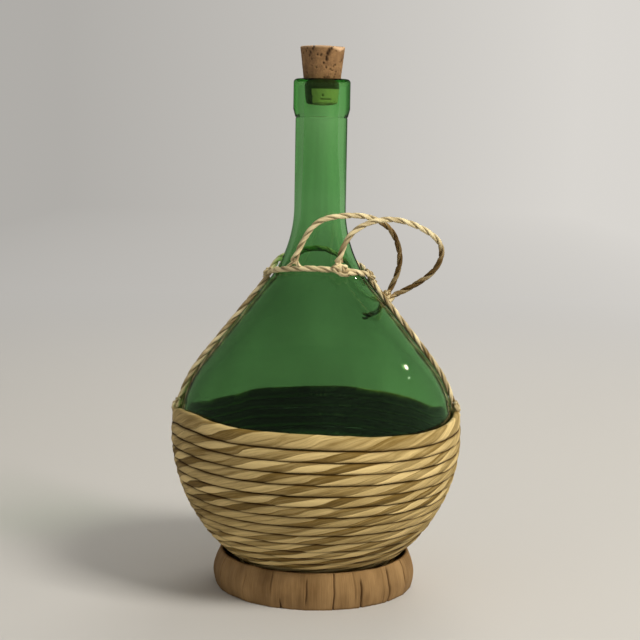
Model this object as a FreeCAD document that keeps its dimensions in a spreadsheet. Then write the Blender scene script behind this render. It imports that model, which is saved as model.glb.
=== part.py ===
"""A round glass flask with a tapered cork, standing in a coiled rope basket.

The basket is coiled from flat rope and stands on a hoop of wood shaving. Two rope
straps run from its rim over the shoulder of the flask to a rope around the neck,
and two free cords make the carrying handle. Millimetres, +Z up, the origin at the
centre of the surface that the hoop stands on, the front of the flask facing -Y.
"""
import FreeCAD, Part
import math
import os
import Sketcher
from FreeCAD import Placement, Rotation, Vector

SIZES = {
    # glass flask
    "belly_radius": 74.3,
    "belly_height": 84.0,
    "lower_radius": 77.3,
    "shoulder_radius": 61.3,
    "shoulder_angle": 38.66,
    "blend_radius": 66.0,
    "neck_radius": 13.7,
    "flask_base_radius": 28.0,
    "punt_radius": 20.0,
    "punt_depth": 6.0,
    "glass_wall": 3.0,
    "flask_height": 271.6,
    "bore_radius": 9.3,
    "bore_length": 38.0,
    "lip_radius": 15.0,
    "lip_height": 16.2,
    "lip_taper": 4.0,
    "lip_round": 2.0,
    # cork
    "cork_swell": 2.45,
    "cork_slack": 1.05,
    "cork_length": 29.7,
    "cork_proud": 16.8,
    "cork_edge": 0.6,
    # basket
    "rope_thickness": 3.7,
    "basket_lower_radius": 83.5,
    "rim_height": 96.5,
    "rim_row": 7.7,
    "coil_row": 6.05,
    "floor_wall": 2.4,
    "row_groove": 1.0,
    "basket_clearance": 0.15,
    # hoop
    "hoop_height": 20.6,
    "hoop_wall": 2.4,
    "hoop_bulge": 3.6,
    "hoop_bulge_height": 8.0,
    "hoop_flare": 1.8,
    "hoop_clearance": 0.15,
    # ropes
    "rope_radius": 1.55,
    "cord_radius": 1.5,
    "rope_clearance": 0.2,
    "knot_ring_radius": 1.8,
    "knot_rope_radius": 1.35,
    "front_knot_scale": 1.25,
    "strap_azimuth": 4.0,
    "left_knot_height": 168.2,
    "right_knot_height": 167.2,
    "front_knot_azimuth": 299.5,
    "front_knot_height": 171.2,
    "hitch_azimuth": 3.6,
    "hitch_height": 154.5,
}

# Turns of the neck rope: azimuth from +X in degrees, height above the surface.
NECK_FRONT_ROUTE = [(191.4, 170.2), (216, 172.0), (241, 173.2), (266, 173.5), (290.4, 172.9)]
NECK_RIGHT_ROUTE = [(308.6, 171.2), (328.5, 169.6), (348.6, 168.4)]
NECK_BACK_ROUTE = [(2.9, 168.4), (28, 172.4), (53.5, 177.0), (78, 180.0), (102.5, 180.4),
                   (127, 178.2), (152, 174.2), (177, 170.4)]
TAIL_ROUTE = [(8.6, 153.2), (19, 151.0), (31, 147.6), (43, 144.4), (54, 141.6)]

# The two free cords of the handle, chosen point by point.
HANDLE_LEFT_ROUTE = [(-13.4, -18.8, 176.0), (-8.6, -21.6, 188.4), (-0.9, -22.6, 198.8),
                     (13.0, -21.0, 201.4), (26.1, -17.0, 200.8), (37.9, -11.6, 194.5),
                     (43.4, -5.6, 181.0), (42.2, -0.4, 168.6), (38.1, 2.4, 160.2)]
HANDLE_RIGHT_ROUTE = [(10.2, -22.9, 177.2), (12.4, -25.0, 187.2), (20.8, -24.6, 196.4),
                      (35.3, -21.0, 200.4), (50.8, -16.0, 196.8), (64.9, -10.0, 187.6),
                      (64.6, -4.6, 174.9), (53.6, 0.2, 164.0), (41.0, 2.9, 157.7)]

doc = FreeCAD.newDocument("flask")
sheet = doc.addObject("Spreadsheet::Sheet", "sizes")
for row_number, (alias, value) in enumerate(SIZES.items(), start=1):
    sheet.set(f"A{row_number}", alias)
    sheet.set(f"B{row_number}", str(value))
    sheet.setAlias(f"B{row_number}", alias)
doc.recompute()


def size(alias):
    """The number that the sheet holds under this alias."""
    return float(sheet.get(alias))


def on_circle(centre_x, centre_z, radius, angle):
    """The point of a profile circle at this angle above the horizontal."""
    return Vector(centre_x + radius * math.cos(angle), centre_z + radius * math.sin(angle), 0)


def dome_middle(radius, base, depth):
    """Halfway point of a dome's arc from its edge to its top, centred on the axis."""
    sphere = (radius ** 2 + depth ** 2) / (2 * depth)
    half_angle = math.asin(radius / sphere) / 2
    return Vector(sphere * math.sin(half_angle), base + depth - sphere * (1 - math.cos(half_angle)), 0)


# ---------------------------------------------------------------- flask profile

SHOULDER_TILT = math.radians(size("shoulder_angle"))
BELLY_HEIGHT = size("belly_height")
SHOULDER_CENTRE = size("belly_radius") - size("shoulder_radius")
LOWER_CENTRE = size("belly_radius") - size("lower_radius")
BLEND_CENTRE = size("neck_radius") + size("blend_radius")
CONE_BOTTOM = on_circle(SHOULDER_CENTRE, BELLY_HEIGHT, size("shoulder_radius"), SHOULDER_TILT)
CONE_TOP_RADIUS = BLEND_CENTRE - size("blend_radius") * math.cos(SHOULDER_TILT)
CONE_TOP_HEIGHT = CONE_BOTTOM.y + (CONE_BOTTOM.x - CONE_TOP_RADIUS) / math.tan(SHOULDER_TILT)
BLEND_HEIGHT = CONE_TOP_HEIGHT + size("blend_radius") * math.sin(SHOULDER_TILT)


def lower_height(radius, arc_radius, arc_centre):
    """Height at which a lower arc, centred level with the belly, has this radius."""
    return BELLY_HEIGHT - math.sqrt(arc_radius ** 2 - (radius - arc_centre) ** 2)


FLASK_BASE = lower_height(size("flask_base_radius"), size("lower_radius"), LOWER_CENTRE)


def shoulder_surface(height):
    """Radius of the flask above its belly, and how far its side leans in, in radians."""
    if height >= BLEND_HEIGHT:
        return size("neck_radius"), 0.0
    if height >= CONE_TOP_HEIGHT:
        lean = math.asin((BLEND_HEIGHT - height) / size("blend_radius"))
        return BLEND_CENTRE - size("blend_radius") * math.cos(lean), lean
    if height >= CONE_BOTTOM.y:
        radius = CONE_BOTTOM.x - (height - CONE_BOTTOM.y) * math.tan(SHOULDER_TILT)
        return radius, SHOULDER_TILT
    lean = math.asin((height - BELLY_HEIGHT) / size("shoulder_radius"))
    return SHOULDER_CENTRE + size("shoulder_radius") * math.cos(lean), lean


def on_flask(azimuth, height, standoff):
    """A point this far out from the flask's surface, square to it."""
    radius, lean = shoulder_surface(height)
    radius += standoff * math.cos(lean)
    turn = math.radians(azimuth)
    level = height + standoff * math.sin(lean)
    return Vector(radius * math.cos(turn), radius * math.sin(turn), level)


# ---------------------------------------------------------------- builders

def origin_feature(body, role):
    """An origin plane or axis of this body."""
    for feature in body.Origin.OriginFeatures:
        if feature.Role == role:
            return feature
    raise ValueError(role)


def bind(sketch, kind, edge, end, expression, value):
    """Tie one end of a profile edge to the sheet, level or upright from the origin."""
    number = sketch.addConstraint(Sketcher.Constraint(kind, -1, 1, edge, end, value))
    sketch.setExpression(f"Constraints[{number}]", expression)


def turned_body(label, outline, ties):
    """A body turned around Z from a closed half profile.

    Each outline item is the start of an edge, alone for a line or with a point
    halfway along for an arc. Each tie is (kind, edge number, sheet expression).
    """
    body = doc.addObject("PartDesign::Body", label)
    body.Label = label
    sketch = body.newObject("Sketcher::SketchObject", label + "_profile")
    sketch.AttachmentSupport = [(origin_feature(body, "XZ_Plane"), "")]
    sketch.MapMode = "FlatFace"
    starts = [item[0] for item in outline]
    for number, item in enumerate(outline):
        finish = starts[(number + 1) % len(starts)]
        if len(item) == 2:
            sketch.addGeometry(Part.Arc(item[0], item[1], finish), False)
        else:
            sketch.addGeometry(Part.LineSegment(item[0], finish), False)
    doc.recompute()
    ends = [edge_ends(sketch, number, starts[number]) for number in range(len(outline))]
    for number in range(len(outline)):
        following = (number + 1) % len(outline)
        sketch.addConstraint(Sketcher.Constraint(
            "Coincident", number, ends[number][1], following, ends[following][0]))
    for kind, number, expression in ties:
        start = starts[number]
        value = start.x if kind == "DistanceX" else start.y
        bind(sketch, kind, number, ends[number][0], expression, value)
    revolution = body.newObject("PartDesign::Revolution", label + "_turned")
    revolution.Profile = sketch
    revolution.ReferenceAxis = (sketch, ["V_Axis"])
    revolution.Angle = 360.0
    doc.recompute()
    return body


def edge_ends(sketch, number, start):
    """Which end of a sketch edge is its start and which its finish, as 1 and 2."""
    if sketch.getPoint(number, 1).distanceToPoint(start) < 1e-6:
        return 1, 2
    return 2, 1


def rounded_route(points):
    """Straight runs joined by tangent arcs, each as large as its two runs allow."""
    edges = []
    radii = []
    last = points[0]
    for before, corner, after in zip(points, points[1:], points[2:]):
        arriving = (corner - before).normalize()
        leaving = (after - corner).normalize()
        shorter = min(before.distanceToPoint(corner), corner.distanceToPoint(after))
        half_turn = arriving.getAngle(leaving) / 2
        reach = 0.45 * shorter
        radius = reach / math.tan(half_turn)
        inward = (leaving - arriving).normalize()
        depth = radius / math.cos(half_turn) - radius
        arc_start = corner - arriving * reach
        arc_end = corner + leaving * reach
        edges.append(Part.LineSegment(last, arc_start).toShape())
        edges.append(Part.Arc(arc_start, corner + inward * depth, arc_end).toShape())
        radii.append(radius)
        last = arc_end
    edges.append(Part.LineSegment(last, points[-1]).toShape())
    return edges, radii


def rope(label, edges, radius_alias):
    """A round rope swept along a chain of edges, its radius tied to the sheet."""
    path = doc.addObject("Part::Feature", label + "_path")
    path.Shape = Part.Wire(edges)
    heading = edges[0].tangentAt(edges[0].FirstParameter)
    section = doc.addObject("Part::Circle", label + "_section")
    section.Placement = Placement(edges[0].valueAt(edges[0].FirstParameter),
                                  Rotation(Vector(0, 0, 1), heading))
    section.setExpression("Radius", f"sizes.{radius_alias}")
    sweep = doc.addObject("Part::Sweep", label)
    sweep.Label = label
    sweep.Sections = [section]
    sweep.Spine = (path, [f"Edge{number + 1}" for number in range(len(edges))])
    sweep.Solid = True
    sweep.Frenet = False
    doc.recompute()
    length = path.Shape.Length
    expected = math.pi * size(radius_alias) ** 2 * length
    print(f"{label}: length {length:.1f} volume {sweep.Shape.Volume:.1f} of {expected:.1f}")
    if abs(sweep.Shape.Volume - expected) > 0.01 * expected:
        raise ValueError(label + ": volume is not section times length")
    return sweep


def routed_rope(label, points, radius_alias):
    """A rope along hand-chosen points, with its bend radii printed."""
    edges, radii = rounded_route(points)
    print(label, "radii", " ".join(f"{radius:.1f}" for radius in radii))
    return rope(label, edges, radius_alias)


def knot(label, centre, turn, scale):
    """Two crossing turns of rope around a small core."""
    parts = []
    for number, tilt in enumerate((20.0, 96.0)):
        torus = doc.addObject("Part::Torus", f"{label}_turn_{number + 1}")
        torus.setExpression("Radius1", f"sizes.knot_ring_radius * {scale}")
        torus.setExpression("Radius2", f"sizes.knot_rope_radius * {scale - 0.06 * number}")
        torus.Placement = Placement(centre, Rotation(turn, tilt, 0))
        parts.append(torus)
    core = doc.addObject("Part::Sphere", label + "_core")
    core.setExpression("Radius", f"sizes.knot_ring_radius * {scale}")
    core.Placement = Placement(centre, Rotation())
    parts.append(core)
    fused = doc.addObject("Part::MultiFuse", label)
    fused.Label = label
    fused.Shapes = parts
    doc.recompute()
    return fused


# ---------------------------------------------------------------- sub-parts

def make_flask():
    """The blown flask: bore, lip, neck, shoulder, belly and punt in one wall."""
    wall = size("glass_wall")
    top = size("flask_height")
    lip_bottom = top - size("lip_height")
    taper_end = lip_bottom - size("lip_taper")
    lip_round = size("lip_round")
    round_mid = lip_round * (1 - math.sqrt(0.5))
    seat_radius = cork_radius_at(top)
    seat_depth = (seat_radius - size("bore_radius")) / cork_taper()
    bore_end = top - size("bore_length")
    inner_neck = size("neck_radius") - wall
    blend_inner = size("blend_radius") + wall
    shoulder_inner = size("shoulder_radius") - wall
    lower_inner = size("lower_radius") - wall
    floor_height = FLASK_BASE + wall
    floor_radius = LOWER_CENTRE + math.sqrt(lower_inner ** 2 - (BELLY_HEIGHT - floor_height) ** 2)
    floor_angle = math.atan2(floor_height - BELLY_HEIGHT, floor_radius - LOWER_CENTRE)
    base_angle = math.atan2(FLASK_BASE - BELLY_HEIGHT, size("flask_base_radius") - LOWER_CENTRE)
    half_tilt = SHOULDER_TILT / 2
    punt_top = FLASK_BASE + size("punt_depth")
    inner_punt_radius = size("punt_radius") + wall / 2
    belly = Vector(size("belly_radius"), BELLY_HEIGHT, 0)
    outline = [
        (Vector(0, punt_top, 0), dome_middle(size("punt_radius"), FLASK_BASE, size("punt_depth"))),
        (Vector(size("punt_radius"), FLASK_BASE, 0),),
        (Vector(size("flask_base_radius"), FLASK_BASE, 0),
         on_circle(LOWER_CENTRE, BELLY_HEIGHT, size("lower_radius"), base_angle / 2)),
        (belly, on_circle(SHOULDER_CENTRE, BELLY_HEIGHT, size("shoulder_radius"), half_tilt)),
        (CONE_BOTTOM,),
        (Vector(CONE_TOP_RADIUS, CONE_TOP_HEIGHT, 0),
         on_circle(BLEND_CENTRE, BLEND_HEIGHT, size("blend_radius"), math.pi + half_tilt)),
        (Vector(size("neck_radius"), BLEND_HEIGHT, 0),),
        (Vector(size("neck_radius"), taper_end, 0),),
        (Vector(size("lip_radius"), lip_bottom, 0),),
        (Vector(size("lip_radius"), top - lip_round, 0),
         Vector(size("lip_radius") - round_mid, top - round_mid, 0)),
        (Vector(size("lip_radius") - lip_round, top, 0),),
        (Vector(seat_radius, top, 0),),
        (Vector(size("bore_radius"), top - seat_depth, 0),),
        (Vector(size("bore_radius"), bore_end, 0),),
        (Vector(inner_neck, BLEND_HEIGHT, 0),
         on_circle(BLEND_CENTRE, BLEND_HEIGHT, blend_inner, math.pi + half_tilt)),
        (on_circle(BLEND_CENTRE, BLEND_HEIGHT, blend_inner, math.pi + SHOULDER_TILT),),
        (on_circle(SHOULDER_CENTRE, BELLY_HEIGHT, shoulder_inner, SHOULDER_TILT),
         on_circle(SHOULDER_CENTRE, BELLY_HEIGHT, shoulder_inner, half_tilt)),
        (Vector(size("belly_radius") - wall, BELLY_HEIGHT, 0),
         on_circle(LOWER_CENTRE, BELLY_HEIGHT, lower_inner, floor_angle / 2)),
        (Vector(floor_radius, floor_height, 0),),
        (Vector(inner_punt_radius, floor_height, 0),
         dome_middle(inner_punt_radius, floor_height, size("punt_depth"))),
        (Vector(0, punt_top + wall, 0),),
    ]
    ties = [
        ("DistanceX", 1, "sizes.punt_radius"),
        ("DistanceX", 2, "sizes.flask_base_radius"),
        ("DistanceX", 3, "sizes.belly_radius"),
        ("DistanceY", 3, "sizes.belly_height"),
        ("DistanceX", 6, "sizes.neck_radius"),
        ("DistanceX", 7, "sizes.neck_radius"),
        ("DistanceY", 7, "sizes.flask_height - sizes.lip_height - sizes.lip_taper"),
        ("DistanceX", 8, "sizes.lip_radius"),
        ("DistanceY", 8, "sizes.flask_height - sizes.lip_height"),
        ("DistanceY", 10, "sizes.flask_height"),
        ("DistanceX", 12, "sizes.bore_radius"),
        ("DistanceX", 13, "sizes.bore_radius"),
        ("DistanceY", 13, "sizes.flask_height - sizes.bore_length"),
        ("DistanceX", 14, "sizes.neck_radius - sizes.glass_wall"),
        ("DistanceX", 17, "sizes.belly_radius - sizes.glass_wall"),
    ]
    return turned_body("glass_flask", outline, ties)


def cork_taper():
    """How much the cork's radius grows for each millimetre up."""
    return (size("cork_swell") + size("cork_slack")) / size("cork_length")


def cork_radius_at(height):
    """Radius of the cork's side at this height."""
    cork_top = size("flask_height") + size("cork_proud")
    return size("bore_radius") + size("cork_swell") - (cork_top - height) * cork_taper()


def make_cork():
    """A tapered cork pushed in until its side meets the mouth of the bore."""
    top = size("flask_height") + size("cork_proud")
    bottom = top - size("cork_length")
    edge = size("cork_edge")
    outline = [
        (Vector(0, bottom, 0),),
        (Vector(cork_radius_at(bottom) - edge, bottom, 0),),
        (Vector(cork_radius_at(bottom + edge), bottom + edge, 0),),
        (Vector(cork_radius_at(top - edge), top - edge, 0),),
        (Vector(cork_radius_at(top) - edge, top, 0),),
        (Vector(0, top, 0),),
    ]
    ties = [
        ("DistanceY", 1, "sizes.flask_height + sizes.cork_proud - sizes.cork_length"),
        ("DistanceX", 1, "sizes.bore_radius - sizes.cork_slack - sizes.cork_edge"),
        ("DistanceY", 4, "sizes.flask_height + sizes.cork_proud"),
        ("DistanceX", 4, "sizes.bore_radius + sizes.cork_swell - sizes.cork_edge"),
    ]
    return turned_body("cork", outline, ties)


BASKET_RADIUS = size("belly_radius") + size("rope_thickness")
BASKET_CENTRE = BASKET_RADIUS - size("basket_lower_radius")


def basket_point(angle, depth):
    """A point of the basket's side, this deep under the crests of its rows."""
    return on_circle(BASKET_CENTRE, BELLY_HEIGHT, size("basket_lower_radius") - depth, angle)


def basket_row_angles(bottom):
    """Angles of the row edges, from the rim until they have passed this height."""
    coil = size("basket_lower_radius")
    angle = math.asin((size("rim_height") - BELLY_HEIGHT) / coil)
    angles = [angle, angle - size("rim_row") / coil]
    while basket_point(angles[-1], size("row_groove")).y > bottom:
        angles.append(angles[-1] - size("coil_row") / coil)
    return angles


def make_basket():
    """The coiled basket: one rounded row above another, fitted around the flask."""
    gap = size("basket_clearance")
    groove = size("row_groove")
    floor_top = FLASK_BASE - gap
    angles = basket_row_angles(min(floor_top - size("floor_wall"), size("hoop_height")))
    inner_lower = size("lower_radius") + gap
    inner_upper = size("shoulder_radius") + gap
    floor_radius = LOWER_CENTRE + math.sqrt(inner_lower ** 2 - (BELLY_HEIGHT - floor_top) ** 2)
    floor_angle = math.atan2(floor_top - BELLY_HEIGHT, floor_radius - LOWER_CENTRE)
    rim = size("rim_height")
    rim_angle = math.asin((rim - BELLY_HEIGHT) / inner_upper)
    floor_edge = basket_point(angles[-1], groove)
    outline = []
    for lower, upper in zip(reversed(angles), list(reversed(angles))[1:]):
        outline.append((basket_point(lower, groove), basket_point((lower + upper) / 2, 0)))
    outline.append((basket_point(angles[0], groove),))
    outline.append((on_circle(SHOULDER_CENTRE, BELLY_HEIGHT, inner_upper, rim_angle),
                    on_circle(SHOULDER_CENTRE, BELLY_HEIGHT, inner_upper, rim_angle / 2)))
    outline.append((Vector(size("belly_radius") + gap, BELLY_HEIGHT, 0),
                    on_circle(LOWER_CENTRE, BELLY_HEIGHT, inner_lower, floor_angle / 2)))
    inner_edge = len(outline) - 1
    outline.append((Vector(floor_radius, floor_top, 0),))
    outline.append((Vector(0, floor_top, 0),))
    outline.append((Vector(0, floor_edge.y, 0),))
    ties = [
        ("DistanceX", inner_edge, "sizes.belly_radius + sizes.basket_clearance"),
        ("DistanceY", inner_edge, "sizes.belly_height"),
    ]
    return turned_body("basket", outline, ties)


def make_hoop():
    """The foot: a bulging hoop of wood shaving that the basket is pushed into."""
    wall = size("hoop_wall")
    height = size("hoop_height")
    bulge_height = size("hoop_bulge_height")
    side = BASKET_CENTRE + math.sqrt(size("basket_lower_radius") ** 2 - (BELLY_HEIGHT - height) ** 2)
    inner = side + size("hoop_clearance")
    outer = inner + wall
    outline = [
        (Vector(outer + size("hoop_flare"), 0, 0),
         Vector(outer + size("hoop_bulge"), bulge_height, 0)),
        (Vector(outer, height, 0),),
        (Vector(inner, height, 0), Vector(inner + size("hoop_bulge"), bulge_height, 0)),
        (Vector(inner + size("hoop_flare"), 0, 0),),
    ]
    ties = [
        ("DistanceY", 1, "sizes.hoop_height"),
        ("DistanceY", 2, "sizes.hoop_height"),
    ]
    return turned_body("foot_hoop", outline, ties)


KNOT_REACH = size("knot_ring_radius") + size("knot_rope_radius")


def knot_standoff(scale=1.0):
    """How far a knot's centre lies from the surface that it rests on."""
    return KNOT_REACH * scale + size("rope_clearance")


def make_neck_rope(label, route):
    """One half of the rope around the neck, lying close on the glass."""
    step = math.radians(abs(route[1][0] - route[0][0]))
    standoff = (size("rope_radius") + size("rope_clearance")) / math.cos(step / 2)
    points = []
    for azimuth, height in route:
        point = on_flask(azimuth, height, standoff)
        points.append(Vector(point.x / math.cos(step / 2), point.y / math.cos(step / 2), point.z))
    return routed_rope(label, points, "rope_radius")


def upright_plane(azimuth, profile_point):
    """A point of the flask's profile, turned about its axis to this azimuth."""
    turn = math.radians(azimuth)
    return Vector(profile_point.x * math.cos(turn), profile_point.x * math.sin(turn), profile_point.y)


def make_strap(label, azimuth, knot_height):
    """A strap pulled tight over the shoulder, from its neck knot to its rim knot."""
    standoff = size("rope_radius") + size("rope_clearance")
    radius = size("shoulder_radius") + standoff
    rim_stop = size("rim_height") + 2 * KNOT_REACH + size("rope_clearance")
    end_angle = math.asin((rim_stop - BELLY_HEIGHT) / radius)
    middle_angle = (SHOULDER_TILT + end_angle) / 2
    bend = on_circle(SHOULDER_CENTRE, BELLY_HEIGHT, radius, SHOULDER_TILT)
    middle = on_circle(SHOULDER_CENTRE, BELLY_HEIGHT, radius, middle_angle)
    end = on_circle(SHOULDER_CENTRE, BELLY_HEIGHT, radius, end_angle)
    below_knot = (KNOT_REACH + size("rope_clearance")) * math.cos(SHOULDER_TILT)
    rise = knot_height - below_knot + standoff * math.sin(SHOULDER_TILT) - bend.y
    top = Vector(bend.x - rise * math.tan(SHOULDER_TILT), bend.y + rise, 0)
    turned = [upright_plane(azimuth, point) for point in (top, bend, middle, end)]
    edges = [
        Part.LineSegment(turned[0], turned[1]).toShape(),
        Part.Arc(turned[1], turned[2], turned[3]).toShape(),
    ]
    return rope(label, edges, "rope_radius")


def rim_knot_centre(azimuth):
    """Where a knot sits on top of the basket's rim, resting against the glass."""
    height = size("rim_height") + KNOT_REACH + size("rope_clearance")
    radius = shoulder_surface(height)[0] + knot_standoff()
    return upright_plane(azimuth, Vector(radius, height, 0))


def make_tail():
    """The short loose end of the handle's hitch, lying on the back of the shoulder."""
    standoff = size("cord_radius") + 2 * size("rope_clearance")
    points = [on_flask(azimuth, height, standoff) for azimuth, height in TAIL_ROUTE]
    return routed_rope("handle_tail", points, "cord_radius")


def build_all():
    """Every sub-part of the flask, in the order in which it is put together."""
    left = 180.0 + size("strap_azimuth")
    right = -size("strap_azimuth")
    left_height = size("left_knot_height")
    right_height = size("right_knot_height")
    front = size("front_knot_azimuth")
    front_scale = size("front_knot_scale")
    front_place = on_flask(front, size("front_knot_height"), knot_standoff(front_scale))
    hitch = size("hitch_azimuth")
    parts = [
        make_flask(),
        make_cork(),
        make_basket(),
        make_hoop(),
        make_neck_rope("neck_rope_front", NECK_FRONT_ROUTE),
        make_neck_rope("neck_rope_right", NECK_RIGHT_ROUTE),
        make_neck_rope("neck_rope_back", NECK_BACK_ROUTE),
        make_strap("strap_left", left, left_height),
        make_strap("strap_right", right, right_height),
        knot("neck_knot_left", on_flask(left, left_height, knot_standoff()), left, 1.0),
        knot("neck_knot_right", on_flask(right, right_height, knot_standoff()), right, 1.0),
        knot("neck_knot_front", front_place, front, front_scale),
        knot("rim_knot_left", rim_knot_centre(left), left, 1.0),
        knot("rim_knot_right", rim_knot_centre(right), right, 1.0),
        knot("handle_hitch", on_flask(hitch, size("hitch_height"), knot_standoff()), hitch, 1.0),
        make_tail(),
        routed_rope("handle_cord_left", [Vector(*p) for p in HANDLE_LEFT_ROUTE], "cord_radius"),
        routed_rope("handle_cord_right", [Vector(*p) for p in HANDLE_RIGHT_ROUTE], "cord_radius"),
    ]
    return parts


def check(parts):
    """Stop if anything in the document failed or any sub-part is not one sound solid."""
    for item in doc.Objects:
        if "Invalid" in item.State or "Error" in item.State:
            raise ValueError(f"{item.Label}: {item.State}")
    for item in parts:
        shape = item.Shape
        if shape.isNull() or not shape.isValid() or len(shape.Solids) != 1:
            raise ValueError(f"{item.Label}: {shape.ShapeType}, {len(shape.Solids)} solids")


def write(parts):
    """One STEP file for each sub-part, named by its label."""
    os.makedirs("parts", exist_ok=True)
    for item in parts:
        item.Shape.exportStep(f"parts/{item.Label}.step")
        box = item.Shape.optimalBoundingBox()
        print(f"{item.Label}: volume {item.Shape.Volume:.0f} z {box.ZMin:.2f} to {box.ZMax:.2f}")


sub_parts = build_all()
check(sub_parts)
write(sub_parts)
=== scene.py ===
"""Round green glass flask with a cork, in a coiled leaf-rope basket on a wood-shaving hoop.

Two rope straps run from the basket's rim up the shoulder to a rope around the neck,
and two free cords make the carrying handle. Metres, +Z up, the front facing -Y.
"""

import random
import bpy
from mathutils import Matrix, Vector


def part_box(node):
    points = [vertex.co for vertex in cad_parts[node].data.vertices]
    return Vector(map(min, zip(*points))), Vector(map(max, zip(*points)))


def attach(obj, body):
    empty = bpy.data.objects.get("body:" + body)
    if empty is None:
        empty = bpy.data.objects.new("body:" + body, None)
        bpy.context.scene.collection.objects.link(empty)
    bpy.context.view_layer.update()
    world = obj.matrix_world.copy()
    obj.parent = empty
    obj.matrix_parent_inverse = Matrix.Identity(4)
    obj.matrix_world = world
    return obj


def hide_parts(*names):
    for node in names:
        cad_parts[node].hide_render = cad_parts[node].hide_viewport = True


bl_info = {
    "name": "Wine flask in a rope basket",
    "version": (1, 0, 0),
    "blender": (4, 5, 0),
    "location": "3D View > Sidebar > Flask",
    "description": "Builds a corked glass flask with its coiled basket, ropes and carrying handle",
    "category": "Add Mesh",
}

from math import asin, atan2, cos, degrees, exp, hypot, pi, radians, sin, sqrt, tan, tau

import bmesh
import bpy
from bpy.props import FloatProperty, FloatVectorProperty, IntProperty, PointerProperty
from mathutils import Matrix, Vector
from mathutils.noise import noise

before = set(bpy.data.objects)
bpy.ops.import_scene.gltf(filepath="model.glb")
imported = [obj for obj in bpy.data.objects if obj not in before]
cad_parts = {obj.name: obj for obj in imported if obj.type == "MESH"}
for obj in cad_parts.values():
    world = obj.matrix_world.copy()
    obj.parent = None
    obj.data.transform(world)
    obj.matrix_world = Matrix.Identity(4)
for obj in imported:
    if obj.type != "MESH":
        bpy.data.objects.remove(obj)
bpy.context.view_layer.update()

MM = 0.001
FRONT, UP = Vector((0, -1, 0)), Vector((0, 0, 1))
# The corners of a face: steps along the piece and around its section.
QUAD = ((0, 0), (1, 0), (1, 1), (0, 1))

# ---- routes, as in the frame

HANDLE_LEFT_ROUTE = [(-13.4, -18.8, 176.0), (-8.6, -21.6, 188.4), (-0.9, -22.6, 198.8),
                     (13.0, -21.0, 201.4), (26.1, -17.0, 200.8), (37.9, -11.6, 194.5),
                     (43.4, -5.6, 181.0), (42.2, -0.4, 168.6), (38.1, 2.4, 160.2)]
HANDLE_RIGHT_ROUTE = [(10.2, -22.9, 177.2), (12.4, -25.0, 187.2), (20.8, -24.6, 196.4),
                      (35.3, -21.0, 200.4), (50.8, -16.0, 196.8), (64.9, -10.0, 187.6),
                      (64.6, -4.6, 174.9), (53.6, 0.2, 164.0), (41.0, 2.9, 157.7)]
# Turns of the ropes on the glass: azimuth from +X in degrees, height in millimetres.
NECK_FRONT_ROUTE = [(188.0, 169.2), (204, 171.4), (220, 172.2), (241, 173.2), (266, 173.5),
                    (284, 173.0), (294, 172.0)]
NECK_RIGHT_ROUTE = [(304.0, 171.6), (328.5, 169.6), (352.0, 168.0)]
NECK_BACK_ROUTE = [(-0.5, 168.2), (10, 169.6), (28, 172.4), (53.5, 177.0), (78, 180.0),
                   (102.5, 180.4), (127, 178.2), (152, 174.2), (170, 171.2), (180.5, 169.4)]
TAIL_ROUTE = [(6.0, 153.9), (19, 151.0), (31, 147.6), (43, 144.4), (54, 141.6)]

# ---- flask profile, in millimetres

BELLY_RADIUS, BELLY_HEIGHT = 74.3, 84.0
LOWER_RADIUS, SHOULDER_RADIUS, BLEND_RADIUS = 77.3, 61.3, 66.0
SHOULDER_TILT = radians(38.66)
NECK_RADIUS, GLASS_WALL = 13.7, 3.0
BASE_RADIUS, PUNT_RADIUS, PUNT_DEPTH = 28.0, 20.0, 6.0
FLASK_HEIGHT, BORE_RADIUS, BORE_LENGTH = 271.6, 9.3, 38.0
LIP_RADIUS, LIP_HEIGHT, LIP_TAPER, LIP_ROUND = 15.0, 16.2, 4.0, 2.0
BORE_FLARE, BORE_WIDENING = 4.2, 29.2
CORK_TOP_RADIUS, CORK_BOTTOM_RADIUS, CORK_PROUD, CORK_LENGTH = 11.75, 8.25, 16.8, 29.7
SHOULDER_CENTRE = BELLY_RADIUS - SHOULDER_RADIUS
LOWER_CENTRE = BELLY_RADIUS - LOWER_RADIUS
BLEND_CENTRE = NECK_RADIUS + BLEND_RADIUS
CONE_BOTTOM_RADIUS = SHOULDER_CENTRE + SHOULDER_RADIUS * cos(SHOULDER_TILT)
CONE_BOTTOM_HEIGHT = BELLY_HEIGHT + SHOULDER_RADIUS * sin(SHOULDER_TILT)
CONE_TOP_RADIUS = BLEND_CENTRE - BLEND_RADIUS * cos(SHOULDER_TILT)
CONE_TOP_HEIGHT = (CONE_BOTTOM_HEIGHT
                   + (CONE_BOTTOM_RADIUS - CONE_TOP_RADIUS) / tan(SHOULDER_TILT))
BLEND_HEIGHT = CONE_TOP_HEIGHT + BLEND_RADIUS * sin(SHOULDER_TILT)
FLASK_BASE = BELLY_HEIGHT - sqrt(LOWER_RADIUS ** 2 - (BASE_RADIUS - LOWER_CENTRE) ** 2)

# ---- basket, in millimetres

BASKET_RADIUS, BASKET_CENTRE = 83.5, -5.5
ROPE_THICKNESS = 3.7
RIM_HEIGHT, RIM_ROW, COIL_ROW, COIL_COUNT = 96.5, 7.7, 6.05, 16
# The floor's coil lies this far under the flask.
FLOOR_RADIUS, FLOOR_DROP, FLOOR_THICKNESS = 41.5, 1.55, 2.6


def linear(code):
    """An sRGB hex colour as the linear red, green and blue that Blender works in."""
    values = [int(code[i:i + 2], 16) / 255 for i in (1, 3, 5)]
    return tuple(v / 12.92 if v <= 0.04045 else ((v + 0.055) / 1.055) ** 2.4 for v in values)


def solid_colour(code):
    """The same colour with full alpha."""
    return linear(code) + (1.0,)


# ---- sizes and colours

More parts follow.
